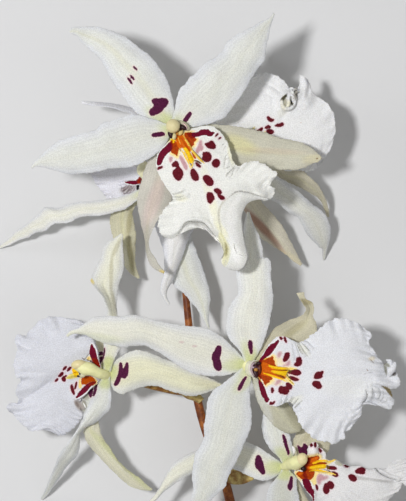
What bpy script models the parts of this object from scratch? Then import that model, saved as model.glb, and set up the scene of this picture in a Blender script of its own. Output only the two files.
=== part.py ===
"""Cut spray of a cambria orchid: six white, maroon-spotted blooms on one stem, lying on a surface.

Run with: blender --background --python part.py

The plan of the spray is drawn on a grid seen from straight above. One grid unit is BLOOM_SPAN over
SPAN_UNITS, u runs to the right, v runs down towards the cut end of the stem, and heights above the
surface are in millimetres. Everything is turned into metres, +Z up, by to_world().
"""

import math

import bmesh
import bpy
import numpy as np

# Driving dimensions
BLOOM_SPAN = 0.120  # tip to tip of the topmost bloom, in metres
SPAN_UNITS = 286.0  # the same span on the plan grid
UNIT = BLOOM_SPAN / SPAN_UNITS
GRID_MIDDLE = (203.0, 250.5)  # the plan point under the eye
VIEW_HEIGHT = 1.2  # eye height over the surface, for which the plan was drawn
GRID_HEIGHT = 0.040  # height at which one grid unit is exactly UNIT
ORIGIN_AT = (0.00126, -0.05334)  # metres from the grid's middle to the middle of the part's box
TEPAL_THICKNESS = 0.0008
LIP_THICKNESS = 0.0008
CALLUS_THICKNESS = 0.0010
BRACT_THICKNESS = 0.0007
LOWEST = 0.4  # millimetres: middle of a blade that lies on the surface
TEPAL_STEPS = (12, 4)  # cells along and across
LIP_STEPS = (15, 10)
BRACT_STEPS = (6, 4)

# Each tepal: left edge, right edge, heights of its middle line, rise of the right edge over the
# left, drop of both edges under the middle, and depth of the waves in its edges, all in
# millimetres but the plan points.
TEPALS = {
    # Bloom A, topmost, faces up
    "a_dorsal_sepal": dict(
        left=[(165.4, 126), (157, 123), (143, 117.5), (130, 106), (120, 92), (110, 78),
              (105, 67), (100, 59), (90, 50), (80, 40.5), (76.5, 35.6), (71, 33.4)],
        right=[(171.5, 121), (173.5, 113), (173.5, 102), (170, 88), (165, 76), (158, 65),
               (150, 56), (140, 48), (130, 40), (120, 34), (110, 30), (97, 27), (81, 26.6),
               (72, 27.6), (68.6, 30.5)],
        height=[60.3, 61.6, 62.0, 61.6, 60.5, 59.0, 57.5, 56.5, 57.5],
        rise=[0, 0, 0.5, 0.5, 0], drop=[0, 1.2, 2.0, 1.8, 1.0, 0.2], wave=0.25),
    "a_left_petal": dict(
        left=[(165.3, 126.3), (157, 121), (148, 117.5), (140, 115), (130, 115), (120, 117),
              (110, 121), (105, 122), (100, 125), (97, 129), (90, 131), (80, 134), (70, 137),
              (60, 140), (50, 147), (42, 154), (35, 161), (31, 167)],
        right=[(166, 134), (165, 145), (158, 152.5), (150, 158), (140, 164), (130, 167),
               (110, 169), (90, 173), (80, 174), (70, 174), (60, 172), (50, 169), (40, 166.6),
               (34.5, 166.6), (32.2, 169)],
        height=[62.4, 63.8, 64.6, 65.0, 65.0, 64.4, 63.4, 62.0, 60.0],
        rise=[0, -0.8, -1.4, -1.2, 0], drop=[0, 0.6, 1.2, 1.2, 0.9, 0.2], wave=0.4),
    "a_right_petal": dict(
        left=[(173.4, 121.3), (174.5, 112.5), (175.3, 105), (177, 97), (180, 89), (185, 84),
              (190, 77), (195, 74), (200, 68), (206, 62), (215, 57), (222.5, 51), (226, 43),
              (230, 39), (240, 33), (250, 28), (260, 22), (270, 17), (273.4, 12.8)],
        right=[(179.8, 126.6), (190, 127), (205, 125), (215, 122), (225, 117), (232, 108),
               (240, 98), (245, 90), (252, 78), (260, 66), (265, 59), (266, 50), (268, 40),
               (270.5, 27), (274.8, 14)],
        height=[62.4, 64.0, 65.2, 66.0, 66.3, 66.3, 66.0, 65.4, 64.0],
        rise=[0, -0.8, -1.2, -0.8, 0], drop=[0, 0.8, 1.4, 1.2, 0.8, 0.2], wave=0.5),
    "a_right_sepal": dict(
        left=[(178.2, 125.6), (190, 124), (203, 123.4), (212, 124), (225, 125), (240, 127),
              (255, 130), (270, 134), (280, 138), (290, 140), (300, 142), (308, 146),
              (315, 151), (321, 156.3)],
        right=[(178.8, 133.2), (190, 142), (203, 152), (217, 160), (230, 164), (243, 166.5),
               (257, 168), (271, 169.3), (285, 170), (297, 169.8), (305, 167.3), (312, 164),
               (318, 162), (321.6, 158.6)],
        height=[60.3, 59.8, 58.8, 57.6, 56.4, 55.4, 54.4, 53.4, 52.4],
        rise=[0, 0, 0, 0], drop=[0, 1.0, 2.0, 2.2, 2.0, 0.4], wave=0.2),
    "a_left_sepal": dict(
        left=[(166.3, 132.6), (158, 145), (150, 157), (144.5, 170), (140, 186), (137.2, 203),
              (139, 215), (142.5, 229), (145, 240), (146, 250), (149, 262), (153, 268),
              (158, 271), (163.8, 273.6)],
        right=[(173.2, 135.6), (173, 147), (173, 162), (173.5, 178), (174, 192), (172, 201),
               (165, 210), (155, 225), (150.3, 235), (148.6, 241), (149, 247), (155, 258),
               (160, 266), (164.8, 271.6)],
        height=[60.3, 59.6, 58.6, 57.2, 55.2, 52.8, 50.2, 48.2, 46.6],
        rise=[0, 0, 0, -1.0, 2.0, 5.0, 2.0, 0], drop=[0, 1.0, 2.0, 2.0, 0.6, 0, 1.0, 0.2],
        wave=0.2),
    # Bloom B, behind and to the right
    "b_right_sepal": dict(
        left=[(256.8, 142), (268, 155), (277, 165), (285, 171), (294, 170.6), (303, 171),
              (310, 177), (318, 185), (324, 195), (327, 203), (329, 211), (329.2, 216.5)],
        right=[(255.6, 148), (263, 160), (271, 170), (279, 177), (290, 183), (297, 186),
               (305, 190), (312, 194), (318, 198), (322, 203), (324.6, 210), (327.2, 217)],
        height=[30.2, 30.2, 29.0, 27.5, 25.5, 22.5, 18.5, 13.0, 7.0],
        rise=[0, -1.0, -3.0, -3.5, -2.0, 0], drop=[0, 0.8, 1.2, 1.0, 0.2], wave=0.2),
    "b_lower_petal": dict(
        left=[(254.6, 147), (265, 162), (272, 171), (278, 178), (285, 182), (292, 187),
              (300, 193), (308, 200), (315, 206), (322, 211), (327, 217), (330, 225),
              (330.5, 235), (328.5, 245), (326.4, 253), (325, 260)],
        right=[(249.1, 148), (254, 165), (261, 183), (270, 199), (277, 203), (282, 207),
               (288, 212), (294, 215), (298, 218), (302, 225), (306, 232), (311, 239),
               (316, 244), (319, 247.6), (321.5, 248), (322.3, 254), (323.2, 260.4)],
        height=[32.3, 33.0, 32.6, 31.2, 28.5, 24.5, 18.5, 10.5, 0.4],
        rise=[0, 1.0, 1.5, 1.0, 0], drop=[0, 1.0, 1.8, 1.8, 1.2, 0], wave=0.35),
    "b_left_sepal": dict(
        left=[(251.2, 148.9), (252, 165), (254, 180), (258, 195), (265, 206), (272, 213),
              (278, 220), (284, 229), (290, 240), (296, 252), (302.2, 264)],
        right=[(246.3, 146.8), (240, 165), (237.5, 185), (240, 202), (245, 212), (250, 220),
               (256, 230), (262, 239), (268, 243), (276, 248), (285, 254), (293, 261),
               (300.6, 266)],
        height=[30.2, 29.4, 28.2, 27.0, 25.2, 22.8, 19.8, 16.4, 12.5],
        rise=[0, 0, 0.5, 0.5, 0], drop=[0, 1.0, 1.8, 2.0, 1.4, 0.2], wave=0.2),
    "b_dorsal_sepal": dict(
        left=[(244, 141), (228, 130), (212, 118), (198, 108), (184, 100)],
        right=[(247, 136.6), (238, 118), (225, 104), (210, 97), (195, 95), (184.5, 97.6)],
        height=[30.2, 30.0, 28.4, 25.4, 22.0],
        rise=[0, 0], drop=[0, 1.0, 1.2, 0.2], wave=0.2),
    "b_upper_petal": dict(
        left=[(248.2, 135.6), (238, 117), (233, 95), (232.5, 75), (237, 55), (245.5, 42)],
        right=[(254.4, 136), (257, 118), (258, 98), (257, 80), (254.5, 62), (248.3, 42.4)],
        height=[32.3, 31.6, 28.5, 23.0, 15.0, 7.0, 0.4],
        rise=[0, 0], drop=[0, 1.0, 1.6, 1.2, 0], wave=0.3),
    # Bloom C, middle, faces up
    "c_dorsal_sepal": dict(
        left=[(241.6, 361), (236, 352), (225, 339), (215, 332), (205, 328), (190, 326),
              (175, 324), (160, 321), (145, 317), (135, 315), (120, 316), (105, 316),
              (93, 318), (86, 322), (78, 328), (70, 331), (66, 335.6)],
        right=[(241.6, 368.6), (233, 373), (220, 376), (200, 375), (190, 372), (180, 367),
               (170, 360), (160, 353), (152, 349), (145, 346), (135, 346), (122, 347),
               (110, 345), (100, 342), (90, 337), (80, 334), (73.5, 334), (67.6, 337)],
        height=[46.5, 48.0, 49.4, 50.4, 51.2, 51.8, 51.8, 51.2, 50.0],
        rise=[0, -0.5, -0.5, 0], drop=[0, 1.2, 2.0, 2.0, 1.6, 0.2], wave=0.25),
    "c_upper_petal": dict(
        left=[(247.4, 358.6), (240, 350), (232, 343), (228, 336), (226, 330), (226, 322),
              (228, 310), (232, 302), (237, 295), (238, 288), (237, 280), (236, 269),
              (238, 255), (241, 243), (243, 232), (245, 221), (247, 211.6)],
        right=[(254.8, 359.6), (260, 350), (264, 342), (266, 335), (269, 325), (271, 315),
               (273, 305), (273, 295), (272, 285), (271, 272), (270, 260.5), (267.6, 257.8),
               (264.4, 258.4), (263, 250), (261, 242), (258, 233), (254, 225), (249.4, 212)],
        height=[48.5, 49.8, 51.0, 51.8, 52.2, 51.8, 50.6, 49.0, 47.0],
        rise=[0, 0.5, 0.5, 0], drop=[0, 0.8, 1.4, 1.4, 0.8, 0.2], wave=0.4),
    "c_lower_petal": dict(
        left=[(244.8, 370.8), (232, 376.5), (222, 384), (212, 392), (207, 402), (206, 415),
              (204, 425), (203, 440), (199, 448), (195, 455), (193, 465), (192, 475),
              (193, 489), (191.5, 496), (189.5, 506), (193.4, 515)],
        right=[(252.6, 371.6), (251.6, 379), (250, 388), (250, 400), (252, 420), (250, 430),
               (246, 440), (241, 452), (236, 462), (232, 470), (228, 478), (226, 485),
               (222, 490), (216, 495), (209, 503), (196, 516.4)],
        height=[48.5, 49.8, 50.8, 51.4, 51.2, 50.4, 48.8, 46.4, 43.0],
        rise=[0, 0.5, 0.5, 0], drop=[0, 0.8, 1.5, 1.5, 0.9, 0.2], wave=0.4),
    "c_upper_sepal": dict(
        left=[(250.9, 359.7), (258.5, 350), (263, 344), (268, 336), (275, 328), (283, 323),
              (292, 319), (300, 316), (304.6, 313), (306, 309), (302.6, 303.6), (299, 298),
              (296.2, 293)],
        right=[(255.7, 365.3), (268, 357), (281, 351), (295, 347), (307, 341), (316.8, 331.5),
               (317, 326), (315.4, 321), (312.8, 316), (314.2, 309), (312, 302),
               (305.5, 298.6), (304, 292)],
        height=[46.4, 46.4, 46.0, 45.4, 44.6, 44.0, 44.6, 46.0, 47.4],
        rise=[0, 0, 1.0, 2.0, -1.0, 0], drop=[0, 1.2, 2.2, 2.2, 0.4, -0.8, 0.2], wave=0.2),
    "c_lower_sepal": dict(
        left=[(254.6, 366), (262.5, 375), (270, 383), (278, 392), (286, 401), (294, 411),
              (300, 420), (302.6, 427), (301, 431)],
        right=[(250.8, 371.4), (252.4, 382), (254.6, 391), (257.4, 401), (262, 411),
               (269, 420.4), (279, 429.4), (289, 433.4), (297, 432.6)],
        height=[46.4, 46.2, 45.6, 44.8, 43.6, 42.4, 41.2, 40.2],
        rise=[0, 0, 0], drop=[0, 1.2, 2.2, 2.4, 1.6], wave=0.2),
    # Bloom D, behind and to the left
    "d_left_sepal": dict(
        left=[(144, 186), (138, 190), (125, 195), (108, 199), (95, 201), (80, 202), (70, 204),
              (58, 208), (44, 208), (40, 213), (35, 217), (25, 225), (15, 232), (8, 239),
              (-2.6, 247.3)],
        right=[(145.6, 192.6), (137, 200.4), (125, 209), (115, 212.4), (105, 215), (95, 216),
               (82, 217), (67, 223), (55, 224), (45, 231), (33, 234), (30, 237), (20, 240),
               (10, 245), (-2.2, 249.7)],
        height=[24.4, 27.0, 27.4, 26.0, 23.0, 19.0, 14.0, 7.8, 0.4],
        rise=[0, 1.0, 1.6, 1.0, 0], drop=[0, 1.0, 1.6, 1.4, 1.0, 0], wave=0.35),
    "d_upper_sepal": dict(
        left=[(155.6, 181), (162, 170), (163, 158), (162, 140), (155, 122), (147, 114.5),
              (137, 109.6), (128, 106.8), (118, 104.6), (108, 103), (96, 102), (88, 101.6),
              (81, 100.8)],
        right=[(149.8, 179.4), (151, 168), (150, 158), (148, 142), (144, 130), (137, 117.5),
               (131, 114), (122, 111), (115, 108.5), (106, 106.8), (96, 106), (90, 105.4),
               (82, 103.6)],
        height=[24.2, 24.0, 26.0, 29.5, 33.0, 35.0, 35.6, 35.4, 34.6],
        rise=[0, 0, 1.0, 3.0, 4.0, 3.0, 0], drop=[0, 0.6, 0.8, 0.8, 0.2], wave=0.2),
    "d_outer_petal": dict(
        left=[(146.4, 190.4), (130, 199), (116, 207), (110.6, 214), (110, 221), (111, 230),
              (114, 240), (120, 247), (124, 258), (125.4, 267), (130, 273), (138, 278.6)],
        right=[(150, 192.4), (142, 199), (136.4, 205), (132.6, 213), (134, 222), (136, 235),
               (135.4, 250), (135.4, 262), (137, 270), (140, 278)],
        height=[22.3, 21.8, 21.4, 21.0, 20.6, 19.8, 18.6, 17.0, 15.0],
        rise=[0, 0, 0.6, 0.6, 0], drop=[0, 0.8, 1.6, 1.8, 1.6, 0.3], wave=0.2),
    "d_dorsal_sepal": dict(
        left=[(149.2, 191.9), (150, 205), (152, 217), (155, 228), (160, 240), (163, 250),
              (164.4, 262), (164, 272), (161.4, 282), (160.2, 290), (162, 296.6),
              (165.4, 301.6), (168.4, 305.4)],
        right=[(154.8, 189.9), (168, 200), (181, 210), (190, 219), (193.5, 228), (190, 236),
               (186, 246), (182, 258), (177, 270), (172, 282), (167.4, 290), (166.6, 296),
               (168, 300), (170, 303.6)],
        height=[25.0, 27.4, 29.6, 31.0, 31.4, 31.0, 29.8, 28.2, 27.0],
        rise=[0, 0, -0.6, -1.0, 0], drop=[0, 1.0, 2.2, 2.4, 1.6, 0.3], wave=0.2),
    "d_inner_petal": dict(
        left=[(152.7, 191.8), (158, 206), (160, 222), (162, 242), (166, 262), (171.6, 280),
              (175, 287), (183, 293), (190, 301), (197, 309), (203, 320), (208, 328.4)],
        right=[(156.7, 187.6), (172, 198), (183, 212), (189, 228), (191.6, 238), (195.4, 248),
               (200, 260), (205, 275), (208.4, 285), (210.2, 296), (209.4, 310), (209, 320),
               (210, 329.6)],
        height=[22.6, 23.2, 23.6, 24.0, 24.0, 23.6, 23.0, 22.4, 21.6],
        rise=[0, 0, 0], drop=[0, 0.8, 1.4, 1.6, 1.2, 0.2], wave=0.35),
    # Bloom E, lower left, turned to the left
    "e_dorsal_sepal": dict(
        left=[(113.4, 369.6), (117, 360), (124, 354.4), (130, 351.4), (138, 350), (147, 351.6),
              (155, 355), (165, 359), (175, 362), (185, 367.6), (200, 374), (212, 379),
              (221.6, 384)],
        right=[(112.4, 376.6), (111.6, 385), (114.5, 390.6), (121, 394), (130, 391.4),
               (140, 387.6), (150, 386), (160, 387), (170, 391), (180, 394), (190, 396),
               (200, 395), (211, 391), (222, 386.4)],
        height=[34.3, 36.0, 37.4, 38.2, 38.6, 38.4, 38.0, 37.4, 36.6],
        rise=[0, -0.6, -0.6, 0], drop=[0, 1.6, 2.4, 2.2, 1.6, 0.3], wave=0.3),
    "e_upper_petal": dict(
        left=[(103.6, 366.8), (102.8, 358), (103.6, 350), (104, 341), (105, 330), (106.5, 318),
              (106.8, 310), (104.5, 303), (101, 295), (95, 288), (90.4, 281), (94, 272),
              (96, 266), (100, 260), (101, 256), (103, 249), (107, 243), (113, 239),
              (121.2, 233.4)],
        right=[(110.6, 366.6), (115, 358), (120, 349), (123, 342), (121, 330), (118, 318),
               (117, 309), (117, 300), (118, 290), (120, 282), (123, 272), (124, 262),
               (123.4, 252), (122.6, 244), (123.2, 234.4)],
        height=[36.4, 37.6, 38.4, 38.8, 38.4, 37.4, 36.2, 35.0, 34.0],
        rise=[0, 0, -1.5, -3.0, 1.0, 1.0, 0], drop=[0, 0.8, 0.4, 0, 1.6, 1.8, 0.3], wave=0.35),
    "e_lower_petal": dict(
        left=[(102.6, 380.4), (97.4, 386), (93, 395), (88, 405), (83, 415), (78, 428),
              (70, 440), (62, 450), (56, 462), (51, 475), (47, 485), (41, 498.6)],
        right=[(109.4, 379.8), (110, 387), (111.5, 395), (111.5, 402), (109, 410), (104, 415),
               (97, 422), (85, 428), (80.6, 433), (80, 440), (79, 450), (76, 457), (70, 463),
               (65, 469), (60, 477), (55, 484), (50, 492), (42.6, 500.2)],
        height=[36.2, 36.3, 36.2, 35.4, 33.0, 28.2, 21.0, 11.5, 0.4],
        rise=[0, -0.5, -1.5, -2.0, -1.5, 0], drop=[0, 1.2, 1.8, 1.2, 0.8, 0], wave=0.35),
    "e_lower_sepal": dict(
        left=[(104.2, 378.7), (99, 392), (92, 408), (86, 422), (83.4, 431), (86, 440),
              (93, 450), (102, 460), (112, 470), (122, 480), (132, 487), (142, 490),
              (151.2, 490.6)],
        right=[(108, 379.5), (107, 392), (103, 407), (98.8, 421), (100, 430), (103.4, 438),
               (110, 448), (118, 460), (128, 470), (140, 478), (147, 485), (152.6, 489)],
        height=[34.2, 32.6, 30.8, 29.0, 27.2, 25.2, 22.8, 20.0, 17.0],
        rise=[0, 0, 1.0, 1.0, 0], drop=[0, 1.0, 1.8, 1.8, 1.4, 0.2], wave=0.2),
    "e_upper_sepal": dict(
        left=[(100.6, 368.6), (96.4, 356), (96, 344), (97, 334), (98.6, 324), (100.6, 319)],
        right=[(103.8, 365.6), (104.4, 352), (104.6, 341), (105.6, 330), (105, 323),
               (103, 318.6)],
        height=[34.2, 31.4, 27.6, 22.8, 17.0, 11.0],
        rise=[0, 0], drop=[0, 1.0, 1.0, 0.2], wave=0.1),
    # Bloom F, lower right
    "f_dorsal_sepal": dict(
        left=[(279.4, 464.2), (270, 455.4), (262, 449), (255, 445), (246, 442), (232, 441.4),
              (215, 444), (200, 449), (190, 453), (180, 459), (170, 468), (164, 478),
              (160, 487), (149, 501), (138, 511)],
        right=[(279.8, 471.4), (272, 478), (265, 481), (255, 479), (245, 474), (236, 470),
               (222, 468.4), (208, 470), (193, 473.5), (182, 479), (172, 486), (163, 492.5),
               (155, 501), (140.4, 513)],
        height=[28.3, 29.8, 31.2, 32.4, 33.2, 33.6, 33.4, 32.8, 32.0],
        rise=[0, 0, 0.6, 0], drop=[0, 1.6, 2.2, 1.8, 1.4, 0.2], wave=0.25),
    "f_upper_petal": dict(
        left=[(283.4, 460.6), (275, 454), (268, 446), (264, 438), (262, 430), (262, 420),
              (264.4, 411), (270, 402)],
        right=[(289, 460.6), (294, 455), (292.5, 446), (290, 436), (287, 425), (282, 413),
               (274, 402.4)],
        height=[30.4, 31.6, 32.6, 33.2, 33.4, 33.2, 32.6],
        rise=[0, 0.6, 0.6, 0], drop=[0, 1.0, 1.4, 1.0, 0.2], wave=0.35),
    "f_lower_petal": dict(
        left=[(281.8, 473.4), (277, 478), (270, 485), (267, 493), (266, 501), (265, 515),
              (266.4, 530), (271, 545), (277, 558), (282, 567)],
        right=[(288.6, 474), (296, 478), (297, 486), (298.5, 495), (300.5, 505), (302, 518),
               (301, 532), (296.6, 546), (290, 558), (284.6, 567.6)],
        height=[30.4, 31.8, 32.4, 31.8, 29.4, 24.8, 18.0, 9.6, 0.4],
        rise=[0, 0.5, 0.5, 0], drop=[0, 1.0, 1.4, 1.2, 0.8, 0], wave=0.4),
    "f_upper_sepal": dict(
        left=[(288.9, 462.2), (291.5, 450), (293.4, 440), (297.6, 431), (306, 422),
              (317, 413), (328, 404.6)],
        right=[(292.1, 465.2), (306, 461), (320, 458.6), (327, 453), (331, 443), (332.4, 431),
               (331.4, 418), (330, 405.4)],
        height=[28.3, 29.6, 31.0, 32.0, 32.6, 32.8, 32.6],
        rise=[0, 0, 0], drop=[0, 1.4, 2.0, 1.6, 0.2], wave=0.2),
    "f_lower_sepal": dict(
        left=[(291.5, 469.6), (300, 484), (307, 498), (316, 512), (327, 524), (338.6, 534)],
        right=[(288.1, 473.2), (292, 488), (297, 502), (304, 516), (315, 529), (337, 536)],
        height=[28.3, 28.0, 27.4, 26.4, 25.0, 23.2],
        rise=[0, 0], drop=[0, 1.2, 1.8, 1.4, 0.2], wave=0.2),
}

# Each lip: its two side edges and its middle line from the column outwards, the front edge from
# side to side, heights of the middle line, drop of the side edges, depth of the waves, and folds
# as (points, height, width).
LIPS = {
    "a_lip": dict(
        left=[(173, 136.8), (165, 145), (158, 153.5), (156, 161), (157, 170), (160, 177),
              (163.4, 183), (168, 190), (172, 196), (172.6, 199), (167, 205.6), (161.6, 213),
              (158.4, 220), (158.2, 227), (160.6, 233.4), (164, 237.4)],
        front=[(164, 237.4), (172, 238.6), (181, 234), (190, 229.6), (200, 228), (208, 232),
               (216, 240), (222, 247), (224, 253), (221, 261), (228, 269), (236, 271),
               (243.4, 269), (247.4, 263), (248, 255), (246, 245), (243, 230), (242, 215),
               (245, 205), (250, 199.6), (258, 199.4), (267, 200.6), (271.4, 198.4),
               (275, 193)],
        right=[(181.2, 131.6), (190, 129), (200, 126.6), (210, 125.6), (218, 129.6),
               (225, 138), (229, 146), (231.4, 155), (234, 163.4), (237, 167.6),
               (245, 163), (255, 161), (262, 163), (270, 168), (277.4, 174.6), (273, 180),
               (270.4, 184.6), (274, 188.4), (275, 193)],
        middle=[(177, 134.2), (184, 146), (194, 160), (203, 176), (211, 192), (219, 208),
                (224, 225), (229, 245), (236, 271)],
        height=[64.2, 66.2, 67.4, 68.0, 68.2, 68.4, 68.6, 68.8, 67.6, 66.0],
        drop=[0, 0.6, 1.2, 1.4, 1.0, 0.6, 1.0], wave=0.6, seed=3,
        folds=[([(262, 196), (250, 194.5), (238, 197), (228, 204), (225, 214), (228, 232),
                 (233, 250), (237, 266)], 3.4, 8.5),
               ([(164, 234), (176, 231), (188, 222), (198, 220), (208, 226), (218, 240)],
                1.6, 7.0)]),
    "b_lip": dict(
        left=[(257.2, 133.8), (255, 128.8), (249, 128.6), (240, 128.6), (226, 127), (214, 119),
              (215, 106), (226, 94), (238, 87), (250, 80)],
        front=[(250, 80), (255, 77), (260, 74), (266, 73), (275, 75), (282, 79), (288, 86),
               (292, 91), (297, 89), (299.2, 82), (299.6, 74.6), (303, 75), (307, 78),
               (310, 83), (311.6, 92), (320, 98), (328, 104), (333, 112), (335.3, 122),
               (335.3, 132), (333, 142), (329, 152), (322, 162)],
        right=[(258.4, 141.6), (268, 148), (280, 157), (291, 166), (303, 170.8), (308, 171),
               (315, 169), (322, 162)],
        middle=[(257.9, 137.7), (268, 128), (280, 116), (292, 103), (298.6, 89.6), (299.6, 74.6)],
        height=[35.6, 37.4, 38.6, 39.2, 39.4, 39.2, 38.6, 37.6],
        drop=[0, 0.4, 0.8, 0.8, 1.2], wave=0.5, seed=5,
        folds=[([(284, 108), (282, 101), (286, 95), (293, 95), (294, 102), (289, 107)],
                1.8, 3.5),
               ([(302, 78), (303, 90), (306, 102)], 1.6, 5.0)]),
    "c_lip": dict(
        left=[(258.4, 361.6), (264, 352), (271, 342), (278, 336.6), (285, 336.6), (292, 340),
              (298, 342.4), (303.4, 341), (310, 336), (318, 330), (325, 323.4),
              (332, 319.4), (341, 318), (350, 320), (359, 323.6), (366, 329.6)],
        front=[(366, 329.6), (372.4, 336), (368.6, 341.6), (373, 349), (376.4, 354),
               (380, 360), (385, 363.6), (390, 360.4), (395, 362), (395.6, 370), (399, 378),
               (400, 383), (396.6, 388.6), (390, 389), (391.4, 393), (394, 400),
               (390, 409.6), (383, 407.4), (375, 405.4), (367, 404.4), (362.4, 406),
               (361.4, 415), (357, 420), (353, 426)],
        right=[(257.6, 374.6), (260.2, 386), (264, 397), (268.6, 404.6), (275, 406.6),
               (281, 405), (286, 402.6), (290.4, 402), (293, 408), (297, 417), (301, 426),
               (306, 431.6), (312.4, 437.4), (319, 441), (326, 441.4), (332, 444),
               (337, 443), (341, 440), (345.4, 437.6), (344.4, 433), (349, 430), (353, 426)],
        middle=[(258, 368), (270, 369.6), (285, 371.5), (300, 373), (320, 375), (345, 377),
                (370, 379), (400, 383)],
        height=[50.6, 52.0, 53.2, 54.2, 55.0, 55.6, 56.0, 56.0, 55.4, 54.4],
        drop=[0, -0.6, -0.4, 0.8, 1.2, 1.2, 1.6], wave=0.7, seed=7,
        folds=[([(386, 364), (384, 374), (392, 378)], -1.6, 5.0),
               ([(362, 402), (368, 392), (378, 386), (388, 389)], 1.8, 6.0)]),
    "d_lip": dict(
        left=[(144.2, 176.6), (138, 169), (129, 161), (117, 153), (104, 149)],
        front=[(104, 149), (95, 154), (90, 163), (90, 172), (93, 178.4), (97, 185.4),
               (102.6, 192.4), (108, 199.4)],
        right=[(144.4, 182.8), (139.6, 188.4), (133, 193.4), (126, 197.4), (117, 201),
               (108, 199.4)],
        middle=[(144.2, 179.8), (130, 177), (112, 174), (90, 172)],
        height=[25.4, 22.6, 20.6, 19.8, 19.4],
        drop=[0, 0.4, 0.8, 0.8], wave=0.4, seed=9, folds=[]),
    "e_lip": dict(
        left=[(99.8, 367.2), (99, 356), (96.4, 345), (93, 339.4), (90, 332), (85, 323.4)],
        front=[(85, 323.4), (78, 319.6), (70, 318.4), (60, 317.4), (52, 316), (46, 318),
               (40, 320), (35, 325), (30, 331), (23, 336), (20, 334), (16, 335),
               (15, 340), (17, 352), (15, 358), (13, 366), (15, 373), (18, 378.6),
               (21, 376), (20, 382), (17, 386), (16, 394), (18, 402), (10, 403), (6, 407.6),
               (10, 411), (14, 416), (20, 422), (26, 428), (32, 431), (40, 430.4),
               (48, 430.4), (55, 434)],
        right=[(99.2, 379.6), (93.6, 386.4), (87.6, 391.6), (82, 397), (80, 402), (80.6, 409),
               (83, 414.6),
               (79.6, 421), (74, 428), (67, 433), (61, 435.4), (55, 434)],
        middle=[(99.7, 373.4), (85, 373.4), (70, 375), (55, 375.6), (38, 376), (21, 376)],
        height=[33.4, 34.2, 35.2, 36.0, 36.6, 36.6, 36.0, 35.2],
        drop=[-5.0, -4.3, -1.0, 0.6, 1.2, 1.6], wave=0.7, seed=11,
        folds=[([(58, 379), (42, 389), (24, 399)], -1.8, 7.0),
               ([(60, 372), (44, 367), (26, 364)], 0.9, 10.0)]),
    "f_lip": dict(
        left=[(296, 462.8), (302.6, 452), (309, 444.6), (317, 442.6), (324, 448), (327, 456),
              (336, 459.6), (347, 466), (360, 466), (370, 469.4), (376, 468), (384.6, 469),
              (390, 463.6), (397, 459.6), (404, 458.8)],
        front=[(404, 458.8), (412, 459.6), (418, 463), (421.4, 469), (421, 475), (416, 481),
               (409, 485.6), (404.6, 485.4), (402.6, 482.6), (401, 487), (397, 492),
               (391, 496.8), (388, 501), (387, 509), (385, 517), (380, 524)],
        right=[(293.8, 472.8), (299.4, 481), (305, 489), (311.6, 497.6), (316, 505), (323, 511),
               (331, 512.6), (338, 515), (343, 522), (350, 529), (360, 532.6), (370, 531),
               (380, 524)],
        middle=[(295, 467.8), (312, 466.6), (330, 468.4), (352, 471.4), (378, 473.6),
                (402, 472), (421.4, 469)],
        height=[32.2, 34.4, 36.2, 37.2, 37.6, 37.4, 36.8, 36.0],
        drop=[-0.8, -2.8, -0.8, 0.8, 1.2, 1.4], wave=0.6, seed=13,
        folds=[([(352, 468), (372, 471), (394, 481)], -1.8, 6.0)]),
}

# Each callus: middle line on the lip, half width in grid units, height of its keels in
# millimetres, and cells along and across.
CALLI = {
    "a_callus": dict(lip="a_lip", line=[(180.5, 138), (187, 148), (194, 158), (200, 166)],
                     half=[3.0, 6.0, 7.0, 5.5], keel=1.3, steps=(7, 6)),
    "b_callus": dict(lip="b_lip", line=[(263.5, 133.4), (267, 130), (271, 126)],
                     half=[2.4, 3.4, 3.0], keel=0.5, steps=(4, 4)),
    "c_callus": dict(lip="c_lip", line=[(263, 369), (271, 370), (280, 371.4), (289, 373.6)],
                     half=[3.4, 5.4, 6.0, 5.0], keel=1.3, steps=(7, 6)),
    "d_callus": dict(lip="d_lip", line=[(142.4, 178.6), (138.5, 178), (134, 176.8)],
                     half=[2.4, 3.2, 2.8], keel=0.4, steps=(4, 4)),
    "e_callus": dict(lip="e_lip", line=[(84, 373), (78, 373.4), (71, 375), (66, 376.6)],
                     half=[4.0, 5.0, 5.0, 3.6], keel=1.3, steps=(7, 6)),
    "f_callus": dict(lip="f_lip", line=[(303, 466), (312, 464.6), (322, 466), (331, 468.6)],
                     half=[3.6, 6.0, 7.0, 5.5], keel=1.3, steps=(7, 6)),
}

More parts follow.
